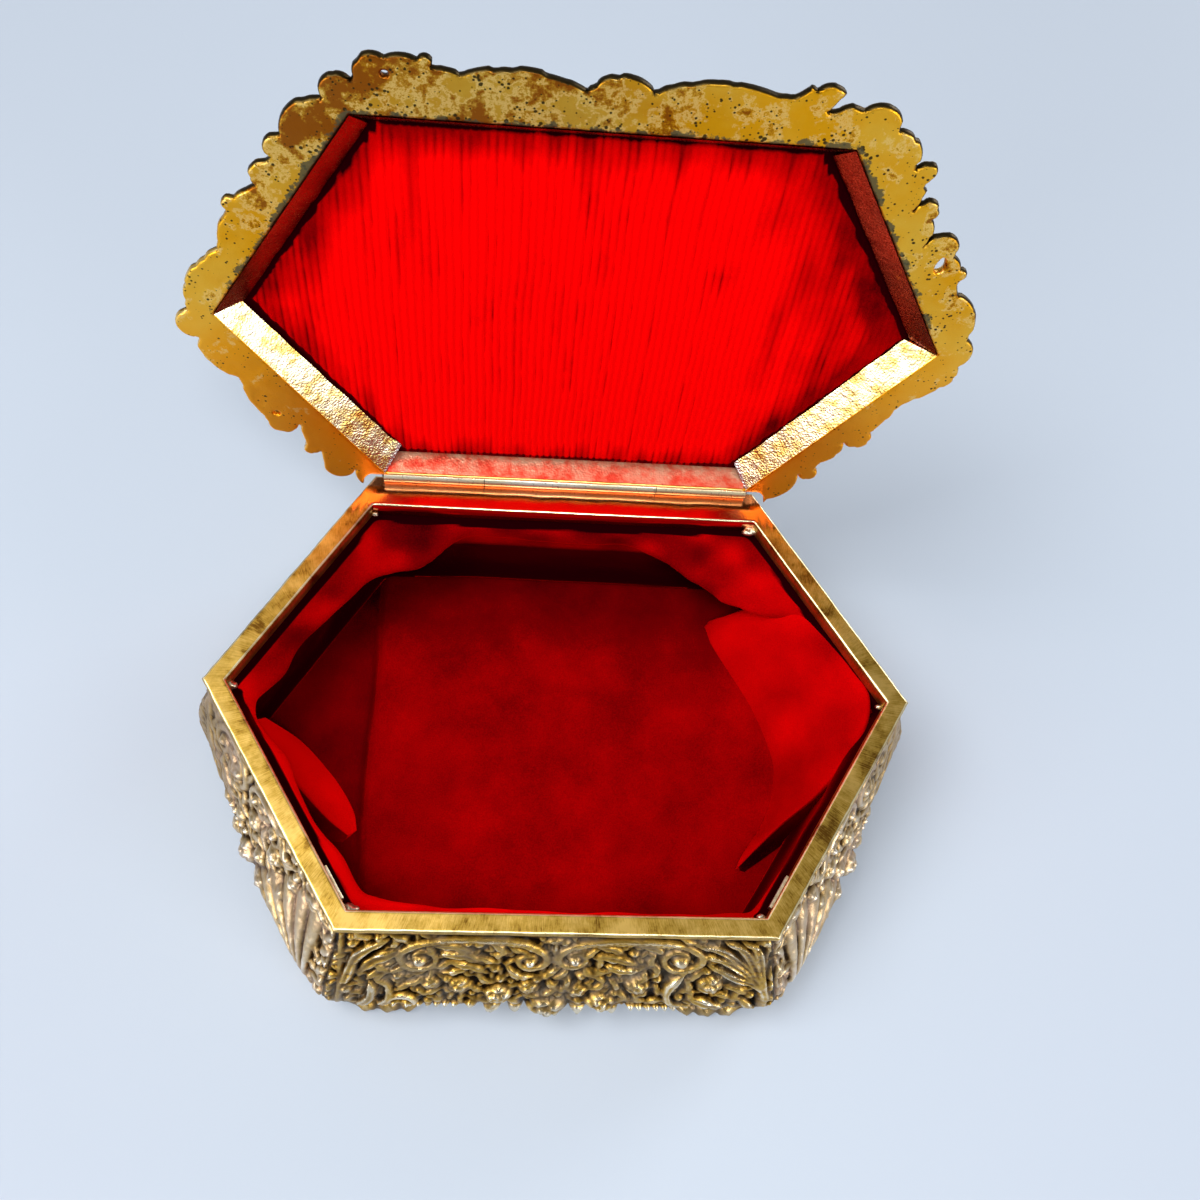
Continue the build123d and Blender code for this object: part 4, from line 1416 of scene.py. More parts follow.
# Spare cloth that comes down on the floor: cross sections as inner foot, crest and outer foot
LAID_FOLDS = {
    "right_fold": (
        (33.6, 27.6, 10.4, 34.6, 28.4, 12.0, 36.6, 30.0, 10.4),
        (35.6, 23.0, 10.4, 46.0, 26.6, 26.0, 48.6, 27.4, 22.0),
        (39.4, 16.4, 10.4, 52.6, 21.6, 31.0, 53.4, 21.8, 26.0),
        (43.4, 9.4, 10.4, 58.8, 12.8, 32.2, 59.4, 12.8, 26.0),
        (46.4, 2.0, 10.4, 63.4, 3.0, 32.4, 64.0, 2.2, 25.0),
        (48.0, -5.0, 10.4, 61.8, -5.2, 31.0, 62.4, -5.6, 22.0),
        (47.0, -12.4, 10.4, 57.4, -11.4, 27.4, 58.4, -12.2, 18.0),
        (44.4, -18.4, 10.4, 53.0, -16.0, 22.0, 54.6, -17.0, 12.4),
        (41.6, -22.4, 10.4, 47.6, -19.8, 16.8, 50.2, -21.2, 10.4),
        (39.4, -25.6, 10.4, 42.6, -24.0, 12.8, 44.6, -25.4, 10.4),
        (38.2, -28.0, 10.4, 38.8, -27.6, 10.8, 40.0, -28.6, 10.4),
    ),
    "left_fold": (
        (-59.8, -2.0, 21.0, -61.8, -4.4, 25.4, -61.6, -6.2, 20.0),
        (-54.0, -3.6, 13.0, -58.4, -8.0, 23.0, -59.6, -9.6, 16.0),
        (-49.0, -8.0, 10.8, -54.4, -12.8, 19.0, -56.4, -14.2, 12.0),
        (-44.8, -13.0, 10.8, -50.0, -17.2, 15.8, -52.4, -19.4, 10.6),
        (-41.6, -18.2, 10.8, -45.6, -21.0, 13.6, -48.2, -23.6, 10.6),
        (-40.6, -22.0, 10.8, -42.2, -23.2, 11.6, -43.6, -25.0, 10.6),
    ),
}


@dataclass
class WellBand:
    """The loose velvet band that hangs from the rim's lip and puffs out round the well."""

    case: CaseSizes
    floor: float
    cloth: float = 0.8
    step_mm: float = 0.6
    rows: int = 40
    back_every: int = 4
    fold_averages: int = 9
    cloth_averages: int = 8
    shade_height: float = 24.5
    slanted_gap: float = 1.5
    other_gap: float = 0.7
    laid_sections: int = 90
    laid_rows: int = 44
    right_painted_light: float = 0.2
    left_painted_light: float = 0.42

    def folds(self, place: np.ndarray) -> np.ndarray:
        """The fold's reach, height and foot at places round the well."""
        knots = np.array(BAND_FOLDS)
        round_trip = np.vstack([knots[-3:] - (6, 0, 0, 0), knots, knots[:3] + (6, 0, 0, 0)])
        return np.stack([np.interp(place, round_trip[:, 0], round_trip[:, k]) for k in (1, 2, 3)], 1)

    def build(self, finish: Material) -> None:
        """Make the band as one thin closed cloth.

        Args:
            finish: the velvet.
        """
        well = self.case.well()
        lip = self.case.rim_under - self.case.lip_drop
        counts = [int(well.length(side) / self.step_mm) for side in Side]
        places = np.concatenate([side + np.arange(count) / count for side, count in zip(Side, counts)])
        folds = self.folds(places)
        for _ in range(self.fold_averages):
            folds = averaged(folds)
        run = np.linspace(0, well.length(Side.FRONT) * 4, len(places))
        sections = []
        for (nose, nose_height, foot), along in zip(folds, run):
            wave = 0.35 * math.sin(along / 3.1) + 0.25 * math.sin(along / 1.7 + 2)
            nose = nose + wave * (0.25 + min(0.6, nose / 8))
            bends = [(-0.3, lip - 0.1), (0.1, lip - 1.1), (0.3 + 0.2 * nose, lip - 2.0),
                     (nose * 0.8, nose_height + 2.4), (nose, nose_height + 0.6),
                     (nose * 0.86, nose_height - 0.7),
                     (nose * 0.5 + foot * 0.4, nose_height - 0.9), (foot, nose_height - 4.5),
                     (foot + 0.4, (nose_height + self.floor) / 2 - 3), (foot + 1.7, self.floor + 1.2),
                     (foot + 1.6, self.floor + 0.2), (foot, self.floor + 0.1)]
            sections.append(resampled(curve_through(bends, 240), count=self.rows))
        sections = np.array(sections)
        sections[..., 0] += self.creases(places, sections)
        along = np.gradient(sections, axis=1)
        normal = np.stack([-along[..., 1], along[..., 0]], -1)
        normal /= np.maximum(np.linalg.norm(normal, axis=-1, keepdims=True), 1e-6)
        behind = (sections - normal * self.cloth)[:, :: -self.back_every]
        whole = np.concatenate([sections, behind], axis=1)
        side = np.floor(places).astype(int)
        points = np.zeros((*whole.shape[:2], 3))
        for s in Side:
            here = side == s
            points[here, :, :2] = well.place(s, (places[here] - s)[:, None], -whole[here, :, 0])
        points[..., 2] = whole[..., 1]
        free = step(lip - 0.6 - points[..., 2], 0.0, 1.5)[..., None]
        for _ in range(self.cloth_averages):
            points += (averaged(points) - points) * free
        # Painted light and shade round the band, from the table above, with random patches
        lean = np.interp(places, *np.array(BAND_PAINTED_LIGHT).T)[:, None] + 0.12 * uneven(
            points[..., 0] + 90, points[..., 1] + points[..., 2], 6.0, 73)
        # Painted shade: the band is darker below shade_height, under its roll
        lean = lean - 0.4 * step(self.shade_height - points[..., 2], 0.0, 3.0)
        # Painted shade: near black where the band hangs close to the wall below the lip, in a wider strip on
        # the slanted front sides
        slanted = np.isin(side, (Side.LEFT_FRONT, Side.RIGHT_FRONT))[:, None]
        gap = np.where(slanted, self.slanted_gap, self.other_gap)
        lean = lean - 1.6 * step(gap - whole[..., 0], 0.0, 0.4) * step(points[..., 2] - lip + 6.0, 0.0, 1.0)
        band = make_piece("velvet_band", points, torus_faces(points), Body.CASE, finish,
                          {"lean": lean}, crease=80)
        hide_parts("wall_lining")
        folds = [self.laid(name, rows, finish) for name, rows in LAID_FOLDS.items()]

    def laid(self, name: str, rows: "tuple[tuple[float, ...], ...]",
             finish: Material) -> bpy.types.Object:
        """Make a fold of the band's spare cloth that comes down on the floor.

        Args:
            name: the fold's name.
            rows: its cross sections, each an inner foot, a crest and an outer foot.
            finish: the velvet.

        Returns:
            The fold.
        """
        inner, crest, outer = (curve_through([row[k : k + 3] for row in rows], self.laid_sections)
                               for k in (0, 3, 6))
        inner[:, 2] = np.maximum(inner[:, 2], self.floor + 0.05)
        outer[:, 2] = np.maximum(outer[:, 2], self.floor + 0.05)
        sections = []
        for a, b, c in zip(inner, crest, outer):
            low, high = a + (b - a) * 0.42, a + (b - a) * 0.8
            far = b + (c - b) * 0.35
            swell = np.array((0, 0, 0.12 * (b[2] - a[2])))
            over = curve_through([a, a + (0, 0, 0.5), low + swell, high + swell, b, far - swell, c],
                                 self.laid_rows)
            under = c + (a - c) * np.linspace(0, 1, 6)[1:-1, None]
            sections.append(np.vstack([over, under]))
        points = np.array(sections)
        ripple = 0.28 * uneven(points[..., 0] + 90, points[..., 1] + 90, 4.5, 91)
        points[..., 2] += ripple * step(points[..., 2] - self.floor, 0.3, 3.0)
        lean = 0.1 * uneven(points[..., 0] + 90, points[..., 1] + 90, 7.0, 92)
        # Painted light: the left fold is painted brighter than the right one
        lean += self.right_painted_light if points[0, 0, 0] > 0 else self.left_painted_light
        # Painted shade on the far side of each fold's crest and underneath it
        lean[:, 30:] -= 0.35
        return make_piece(f"velvet_{name}", points, tube_faces(points), Body.CASE, finish,
                          {"lean": lean}, crease=80)

    def creases(self, places: np.ndarray, sections: np.ndarray) -> np.ndarray:
        """How far small folds push each place out from the wall.

        Args:
            places: where each section is, round the well.
            sections: reach and height of its points.

        Returns:
            The distances.
        """
        height = sections[..., 1]
        fine = uneven(places[:, None] * 34 + height * 0.35, height, 5.0, 71) * 0.5
        small = uneven(places[:, None] * 50 - height * 0.5, height, 2.2, 72) * 0.18
        loose = np.clip(sections[:, self.rows // 3, 0] / 8, 0.15, 1.0)[:, None]
        return (fine + small) * loose * step(height, self.floor, self.floor + 3) * step(33 - height, 0.2, 3)


@dataclass
class FloorPad:
    """The velvet floor pad, with a seam across it and a piece that stands higher left of the seam."""

    case: CaseSizes
    under: float
    top: float
    edge_set: float = 0.7
    step_mm: float = 0.5
    rows: int = 150
    edge_round: float = 2.2
    seam_x: float = -39.5
    seam_depth: float = 0.9
    seam_half: float = 0.55
    raised: float = 0.7

    def build(self, finish: Material) -> None:
        """Make the pad.

        Args:
            finish: the velvet.
        """
        outline = self.case.well().moved([-self.edge_set] * SIDES)
        x, y = outline.filled(0.3, self.step_mm, np.linspace(0, 1, self.rows))
        inset = outline.inset_of(x, y)
        round_edge = np.sqrt(1 - np.clip(1 - inset / self.edge_round, 0, 1) ** 2)
        height = self.top - 0.2 + 0.18 * uneven(x + 90, y + 90, 13.0, 81)
        height = height + 0.05 * uneven(x + 90, y + 90, 2.4, 82)
        seam = x - self.seam_x - 0.3 * np.sin(y / 7)
        height = height - self.seam_depth * np.exp(-((seam / self.seam_half) ** 2))
        height = height + self.raised * step(-seam, 0.1, 1.6)
        height = self.under + (height - self.under) * (0.25 + 0.75 * round_edge)
        points = with_flat_back(x, y, height, self.under)
        lean = np.zeros(points.shape[:2])
        # Painted shade: the floor is darker left of the seam and towards the back of the well
        lean[:, : self.rows] = 0.06 - 0.1 * step(-seam, 0.0, 0.6) - 0.12 * step(y, 10, 40)
        pad = make_piece("velvet_floor", points, tube_faces(points), Body.CASE, finish,
                         {"lean": lean}, crease=75)
        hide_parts("floor_pad")


@dataclass
class Feet:
    """Four cast bracket feet: lumpy scrolls that run round the corners of the straight sides."""

    case: CaseSizes
    arm: float = 15.0
    middle: float = 6.3
    half_tall: float = 2.2
    lump_mm: float = 4.6
    step_mm: float = 0.35

    def build(self, finish: Material) -> None:
        """Make the four feet.

        Args:
            finish: the cast metal.
        """
        outline = self.case.outline()
        angle = np.linspace(0, 2 * math.pi, 36, endpoint=False)
        run = np.arange(-self.arm, self.arm, self.step_mm)[:, None]
        end = np.clip((self.arm - np.abs(run)) / 3.0, 0.02, 1) ** 0.5
        near = np.exp(-((run / 2.6) ** 2))
        lump = np.abs(np.sin((np.abs(run) - 1.5) * math.pi / self.lump_mm))
        groove = 1 - 0.12 * np.abs(np.cos(2 * angle + run * 1.4))
        across = self.middle - 1.5 * near + 0.3 * lump + (1.9 + 0.55 * lump) * end * np.cos(angle) * groove
        tall = (self.half_tall + 0.45 * lump * (1 - near)) * end
        up = np.clip(self.half_tall + tall * np.sin(angle) * groove, 0.0, None)
        # Painted highlight: each lump is paler on the same side of its section
        rubbed_and_highlit = np.clip(0.15 + 0.5 * lump * np.cos(angle - 0.6), 0, 1)
        turned = step(run, -3.0, 3.0)
        for corner, name in ((0, "front_left"), (1, "front_right"), (3, "back_right"), (4, "back_left")):
            along = np.where(run < 0, outline.along(corner - 1), outline.along(corner))
            points = outline.start(corner) + along * run
            outward = outline.outward(corner - 1) * (1 - turned) + outline.outward(corner) * turned
            outward /= np.linalg.norm(outward, axis=1)[:, None]
            body = np.dstack([points[:, None, :] + outward[:, None, :] * across[..., None], up])
            foot = make_piece(f"scroll_foot_{name}", body, tube_faces(body), Body.CASE, finish,
                              {"relief": rubbed_and_highlit})
            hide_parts(f"{name}_foot")


@dataclass
class Solder:
    """Lumps of solder in the well's upper corners, left where the panels were joined."""

    case: CaseSizes
    radius: float = 1.5
    inset: float = 0.5
    drop: float = 0.9
    stretch: tuple[float, float, float] = (1.15, 0.8, 0.7)
    rows: int = 12
    columns: int = 18

    def build(self, finish: Material) -> None:
        """Make a lump in each corner, sunk a little in the metal.

        Args:
            finish: the solder.
        """
        inside = self.case.well().moved([-self.inset] * SIDES)
        fall = np.linspace(0.06, math.pi - 0.06, self.rows)[:, None]
        turn = np.linspace(0, 2 * math.pi, self.columns, endpoint=False)[None, :]
        way = np.stack([np.sin(fall) * np.cos(turn), np.sin(fall) * np.sin(turn),
                        np.cos(fall) + 0 * turn], -1)
        for corner, (x, y) in enumerate(inside.corners):
            size = self.radius * (0.7 + 0.3 * math.sin(2.4 * corner + 1))
            bump = uneven(way[..., 0] * 2 + 9, way[..., 1] * 2 + way[..., 2] + 9, 1.1, corner + 95)
            middle = (x, y, self.case.rim_under - self.drop)
            points = way * ((1 + 0.25 * bump) * size)[..., None] * self.stretch + middle
            name = f"solder_lump_{corner}" if corner else "solder_lumps"
            lump = make_piece(name, points, tube_faces(points), Body.CASE, finish, crease=80)
        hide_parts("corner_solder")


def dress(node: str, finish: Material) -> None:
    """Give a frame node that keeps its own shape a finish."""
    mesh = bpy.data.objects[node].data
    mesh.materials.clear()
    mesh.materials.append(finish)


# Lid


@dataclass(frozen=True)
class LidPlace:
    """Where the lid stands open on its hinge, in millimetres."""

    axis_y: float
    axis_z: float
    seat: float
    turn: float
    back: float

    @classmethod
    def from_frame(cls, case: CaseSizes, seat_gap: float = 0.15, back_set: float = 3.3) -> "LidPlace":
        """The place that the frame's hinge gives.

        Args:
            case: the case's sizes.
            seat_gap: gap between the rim and the shut lid.
            back_set: how far the lid's mouth stays in from the case's back.

        Returns:
            The place.
        """
        hinge = frame["joints"][0]
        return cls(hinge["pos_m"][1] / MM, hinge["pos_m"][2] / MM, case.rim_top + seat_gap,
                   math.radians(hinge["range_deg"][1]), case.half_depth - back_set)

    def mouth(self, case: CaseSizes) -> Outline:
        """The outline of the shut lid's mouth."""
        return case.outline().moved(with_back(-case.rim_width, self.back - case.half_depth))

    def opened(self, plan: np.ndarray, depth: np.ndarray) -> np.ndarray:
        """Places on the shut lid, after it has opened.

        Args:
            plan: x and y on the shut lid.
            depth: height above the lid's seat.

        Returns:
            The points in the open pose.
        """
        across, up = plan[..., 1] - self.axis_y, self.seat + depth - self.axis_z
        cos, sin = math.cos(self.turn), math.sin(self.turn)
        return np.stack([plan[..., 0], self.axis_y + across * cos + up * sin,
                         self.axis_z - across * sin + up * cos], -1)


# The border's edge, clockwise from its left hinge corner as the open lid is seen from the front: where
# each stretch ends, across and up from the hinge side, and its outward rise as a share of its length
BORDER_EDGE = (
    (-41.0, -0.8, 0.0), (-42.5, -3.1, -0.1), (-42.8, -4.6, 0.0), (-44.1, 0.3, 0.13), (-50.4, 1.7, 0.5),
    (-50.6, 5.9, 0.0), (-53.3, 8.2, 0.63), (-54.1, 14.1, 0.0), (-60.0, 15.0, 0.49), (-62.8, 21.0, 0.0),
    (-64.1, 27.2, 0.0), (-70.0, 35.4, 0.11), (-69.5, 37.8, 0.0), (-70.0, 44.5, 0.44), (-62.3, 59.4, 0.16),
    (-60.3, 66.4, 0.11), (-59.7, 67.6, 0.0), (-58.2, 70.8, 0.35), (-54.2, 73.4, 0.0), (-52.7, 78.0, 0.33),
    (-51.4, 79.0, 0.0), (-49.2, 83.3, 0.36), (-42.6, 90.6, 0.22), (-42.6, 92.3, 0.0), (-37.8, 93.8, 0.3),
    (-37.5, 94.6, 0.0), (-32.8, 97.8, 0.35), (-28.2, 97.9, 0.12), (-25.8, 96.9, 0.45), (-21.5, 96.1, 0.0),
    (-3.5, 94.7, 0.12), (6.4, 95.5, 0.26), (24.2, 96.4, 0.1), (28.3, 97.6, -0.15), (29.1, 98.4, 0.0),
    (30.2, 97.6, 0.0), (34.5, 97.5, 0.26), (32.6, 94.2, 0.0), (36.0, 95.5, 0.0), (38.0, 94.8, 0.0),
    (44.3, 91.9, 0.36), (48.9, 85.5, 0.23), (51.8, 83.4, 0.58), (51.4, 81.9, 0.0), (52.1, 81.1, 0.0),
    (50.9, 77.0, 0.0), (54.5, 75.4, 0.77), (54.8, 69.9, 0.17), (60.6, 67.9, 0.58), (62.8, 65.1, 0.13),
    (63.6, 62.7, 0.43), (64.7, 59.3, -0.06), (69.7, 48.4, 0.18), (70.5, 41.3, 0.26), (70.3, 36.3, 0.13),
    (62.2, 28.2, 0.0), (59.2, 20.8, 0.09), (54.9, 17.2, 0.57), (51.9, 10.6, 0.19), (51.2, 8.0, 0.0),
    (48.0, 6.0, 0.71), (43.4, -3.0, 0.2), (42.8, -4.6, 0.0), (42.5, -3.1, 0.0), (41.0, -0.8, -0.1),
)


@dataclass
class LidBorder:
    """The lid's flat border: a thin cast plate with a lobed, uneven edge and three small holes."""

    case: CaseSizes
    lid: LidPlace
    thick: float = 1.6
    edge_round: float = 0.5
    edge_rings: tuple[float, float] = (0.12, 0.3)
    nick: float = 0.45
    bead_inset: float = 1.5
    bead_half: float = 0.6
    bead_height: float = 0.55
    swirl_height: float = 0.5
    swirls: int = 34
    swirl_middle: float = 44.0
    hinge_half: float = 41.0
    step_mm: float = 0.55
    round_holes: tuple[tuple[float, float, float], ...] = ((-57.9, 17.7, 0.6), (-32.8, 95.3, 0.55))
    slit: tuple[float, float] = (58.9, 65.9)

    def loops(self) -> list[np.ndarray]:
        """The plate's edges, across and up from the hinge side.

        Returns:
            Its outer edge, its mouth and its holes, a loop of points for each.
        """
        edge = []
        for (u, w, _), (end_u, end_w, bulge) in zip(BORDER_EDGE, BORDER_EDGE[1:] + BORDER_EDGE[:1]):
            edge.append(bulged((u, w), (end_u, end_w), bulge, self.step_mm))
        mouth = self.lid.mouth(self.case)
        rows = []
        for side in Side:
            count = int(mouth.length(side) / self.step_mm)
            share = np.arange(count)[:, None] / count
            rows.append(mouth.between(side, share) * (1, -1) + (0, self.lid.back))
        angle = np.linspace(0, 2 * math.pi, 14, endpoint=False)
        holes = [np.stack([u + r * np.cos(angle), w + r * np.sin(angle)], 1) for u, w, r in self.round_holes]
        u, w = self.slit
        narrow = 0.75 * np.cos(angle) * (1 - 0.35 * np.sin(angle))
        holes.append(np.stack([u + narrow, w + 1.8 * np.sin(angle)], 1))
        edge = np.vstack(edge)
        # Small uneven nicks, away from the hinge
        along = np.cumsum(np.linalg.norm(np.roll(edge, -1, 0) - edge, axis=1))
        nicks = np.maximum(uneven(along, along * 0, 1.3, 24), 0) * self.nick * (edge[:, 1] > 4)
        return [edge - left_of(edge) * nicks[:, None], np.vstack(rows), *holes]

    def build(self, finish: Material) -> None:
        """Make the border.

        Args:
            finish: the tarnished flat metal.
        """
        loops = self.loops()
        low, high = loops[0].min(0), loops[0].max(0)
        across, up = (np.arange(a, b, self.step_mm) for a, b in zip(low, high))
        grid = np.stack([axis.ravel() for axis in np.meshgrid(across, up)], 1)
        grid[:, 0] += (np.round(grid[:, 1] / self.step_mm) % 2) * self.step_mm / 2
        inner = grid[inside_loops(grid, loops)]
        inner = inner[edge_gap(inner, loops) > self.edge_round + 0.2]
        rings = []
        for inset in (*self.edge_rings, self.edge_round):
            for loop in loops:
                for way in (-1, 1):
                    ring = loop + left_of(loop) * inset * way
                    keep = inside_loops(ring, loops) & (edge_gap(ring, loops) > inset * 0.93)
                    rings.append(ring[keep])
        points = np.vstack([*loops, *rings, inner])
        edges, start = [], 0
        for loop in loops:
            index = np.arange(len(loop)) + start
            edges += np.stack([index, np.roll(index, -1)], 1).tolist()
            start += len(loop)
        vertices, _, faces, *_ = delaunay_2d_cdt([Vector(p) for p in points], edges, [], 0, 1e-5)
        flat = np.array([tuple(v) for v in vertices])
        faces = np.array(faces)
        faces = faces[inside_loops(flat[faces].mean(1), loops)]
        used = np.unique(faces)
        flat, faces = flat[used], np.searchsorted(used, faces)
        gap = edge_gap(flat, loops)
        share = np.clip(1 - gap / self.edge_round, 0, 1)
        drop = self.edge_round * (1 - np.sqrt(1 - share**2))
        u, w = flat.T
        under = np.maximum(drop + 0.07 * uneven(u + 90, w, 3.4, 21) + 0.03 * uneven(u + 90, w, 1.1, 22), 0.0)
        outer_gap = edge_gap(flat, loops[:1])
        swirl = np.abs(np.sin(np.arctan2(w - self.swirl_middle, u) * self.swirls + outer_gap * 0.9))
        raised = self.bead_height * np.exp(-(((outer_gap - self.bead_inset) / self.bead_half) ** 2))
        raised += self.swirl_height * swirl * step(outer_gap, 2.2, 3.2)
        raised += 0.1 * uneven(u + 90, w, 1.4, 23)
        outside = self.thick - drop + np.maximum(raised, 0) * step(gap, 0.0, 0.8)
        plan = np.stack([u, self.lid.back - w], 1)
        count = len(flat)
        all_points = np.vstack([self.lid.opened(plan, under), self.lid.opened(plan, outside)])
        sides = np.sort(np.vstack([faces[:, [0, 1]], faces[:, [1, 2]], faces[:, [2, 0]]]), axis=1)
        rims, uses = np.unique(sides, axis=0, return_counts=True)
        rims = rims[uses == 1]
        walls = np.stack([rims[:, 0], rims[:, 1], rims[:, 1] + count, rims[:, 0] + count], 1)
        all_faces = faces.tolist() + (faces[:, ::-1] + count).tolist() + walls.tolist()
        # Painted shade along the rounded outer edge away from the hinge, and a painted highlight on its left
        # part near the hinge
        far = step(w + 0.25 * u, 30.0, 80.0)
        rounded = (drop / self.edge_round) * (outer_gap < self.edge_round)
        face = np.clip(0.6 - 1.6 * rounded * far + 0.9 * rounded * (1 - far) * (u < 0), 0, 1)
        rubbed_and_highlit = np.concatenate([face, np.clip(0.25 + 0.9 * raised - 0.5 * drop, 0, 1)])
        mouth_gap = edge_gap(flat, loops[1:2])
        crust = step(2.6 - mouth_gap, 0.0, 2.2) * step(w, 30, 60)
        wear = 0.1 + 0.32 * step(w, 60, 90) * step(30 - u, 0, 40)
        wear += 0.15 * step(w, 30, 60) - 0.4 * step(30 - w, 0, 20)
        warm = step(60 - w, 0, 44) * 0.75 + 0.1
        # Along the hinge edge: painted shade on the outermost strip and a painted highlight line just inside
        # it
        hinge_edge = (w < -0.1) & (np.abs(u) < self.hinge_half)
        rubbed_and_highlit[:count][hinge_edge] = np.where(w[hinge_edge] < -0.45, 0.0, 1.0)
        both = {"relief": rubbed_and_highlit, "crust": np.tile(crust, 2), "wear": np.tile(wear, 2),
                "warm": np.tile(warm, 2)}
        border = make_piece("pierced_border", all_points, all_faces, Body.LID, finish, both,
                            crease=40)
        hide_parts("lid_flange")


@dataclass
class LidWalls:
    """Six narrow strips of thin metal between the lid's mouth and the velvet.

    The two beside the hinge are beaten and widest, and their cut ends lap over the hinge strip and carry a
    painted white highlight. The hinge strip stands nearly upright, so it mirrors the velvet, and a painted
    pink reflection of the velvet colours it. The others are dark red, a painted reflection of the velvet
    with painted shade.
    """

    case: CaseSizes
    lid: LidPlace
    front_inset: float = 3.3
    far_inset: float = 4.0
    left_insets: tuple[float, float, float] = (5.7, 4.9, 3.7)
    right_insets: tuple[float, float, float] = (5.0, 4.7, 4.9)
    hinge_foot: float = 0.62
    hinge_inset: float = 1.9
    hinge_depth: float = 4.8
    depth: float = 3.6
    thick: float = 0.4
    lap: float = 0.6
    deep_dents: float = 0.04
    shallow_dents: float = 0.02
    step_mm: float = 0.4

    def feet(self, side: Side, from_hinge: np.ndarray) -> tuple[np.ndarray, np.ndarray, float]:
        """Where a strip starts and ends.

        Args:
            side: the mouth's side.
            from_hinge: distance along the side from its end at the hinge.

        Returns:
            The reach of its foot, the reach of its inner edge and how deep that edge is.
        """
        none = 0 * from_hinge
        if side == Side.BACK:
            return none - self.hinge_foot, none - self.hinge_inset, self.hinge_depth
        if side in (Side.LEFT_BACK, Side.RIGHT_BACK):
            insets = self.left_insets if side == Side.LEFT_BACK else self.right_insets
            return none, -np.interp(from_hinge, (0.0, 3.0, 50.0), insets), self.depth
        inset = self.front_inset if side == Side.FRONT else self.far_inset
        return none, none - inset, self.depth

    def strip(self, mouth: Outline, side: Side, rough: float) -> tuple[np.ndarray, np.ndarray]:
        """One strip's points and how much painted white highlight each gets.

        Args:
            mouth: the lid's mouth.
            side: the mouth's side.
            rough: height of its dents.

        Returns:
            The points, in rows across the strip, and the rubbed share at each.
        """
        length = mouth.length(side)
        share = np.linspace(0.002, 0.998, int(length / self.step_mm))[:, None]
        run = share * length
        near = side in (Side.LEFT_BACK, Side.RIGHT_BACK)
        from_hinge = length - run if side == Side.RIGHT_BACK else run
        foot, inner, deep = self.feet(side, from_hinge)
        across = np.linspace(0, 1, 11)
        wave = uneven(run + 7, run * 0, 3.0, side + 30)
        inner = inner * (1 + 0.03 * wave)
        reach = foot + (inner - foot) * across
        depth = deep * across + 0.05 * wave * across
        dents = uneven(run + 0 * across, across * 6 + 0 * run, 0.9, side + 40)
        dents = rough * np.minimum(dents, 0.4) * np.sin(math.pi * np.clip(across, 0.06, 0.94)) ** 0.4
        lean = math.atan2(deep, abs(float(inner.mean() - foot.mean())))
        reach, depth = reach + dents * math.sin(lean), depth + dents * math.cos(lean)
        back = np.array([1.0, 0.5, 0.0])
        back_reach = foot + (inner - foot) * back + self.thick * math.sin(lean)
        back_depth = deep * back + self.thick * math.cos(lean) + 0 * run
        back_reach[:, 2] = foot[:, 0]
        back_depth[:, 2] = self.thick
        reach, depth = np.hstack([reach, back_reach]), np.hstack([depth, back_depth])
        rubbed_and_highlit = 0 * depth
        if near:
            lap = self.lap * step(0.8 - from_hinge, 0.0, 0.8) * depth / self.depth / length
            share = share + lap * (1 if side == Side.RIGHT_BACK else -1)
            # Painted white highlight on the cut ends by the hinge
            rubbed_and_highlit = step(0.75 - from_hinge, 0.0, 0.4) + 0 * depth
        return self.lid.opened(mouth.place(side, share + 0 * depth, reach), depth), rubbed_and_highlit

    def build(self, beaten: Material, velvet_reflecting: Material, smooth: Material, stained: Material) -> None:
        """Make the six strips.

        Args:
            beaten: the beaten metal of the two strips beside the hinge.
            velvet_reflecting: the metal of the hinge strip, pink as a painted reflection of the velvet.
            smooth: the flat metal of the front strip and the far left one, dark red as a painted reflection
                of the velvet with painted shade.
            stained: the metal of the far right strip, a copy painted darker as shade.
        """
        finishes = {Side.LEFT_BACK: (beaten, self.deep_dents), Side.RIGHT_BACK: (beaten, self.deep_dents),
                    Side.BACK: (velvet_reflecting, self.deep_dents), Side.RIGHT_FRONT: (stained, self.shallow_dents)}
        mouth = self.lid.mouth(self.case)
        for side in Side:
            finish, rough = finishes.get(side, (smooth, self.shallow_dents))
            points, rubbed_and_highlit = self.strip(mouth, side, rough)
            name = side.name.lower()
            strip = make_piece(f"beaten_strip_{name}", points, tube_faces(points), Body.LID,
                               finish, {"relief": rubbed_and_highlit}, crease=45)
            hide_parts(f"lid_wall_{name}")


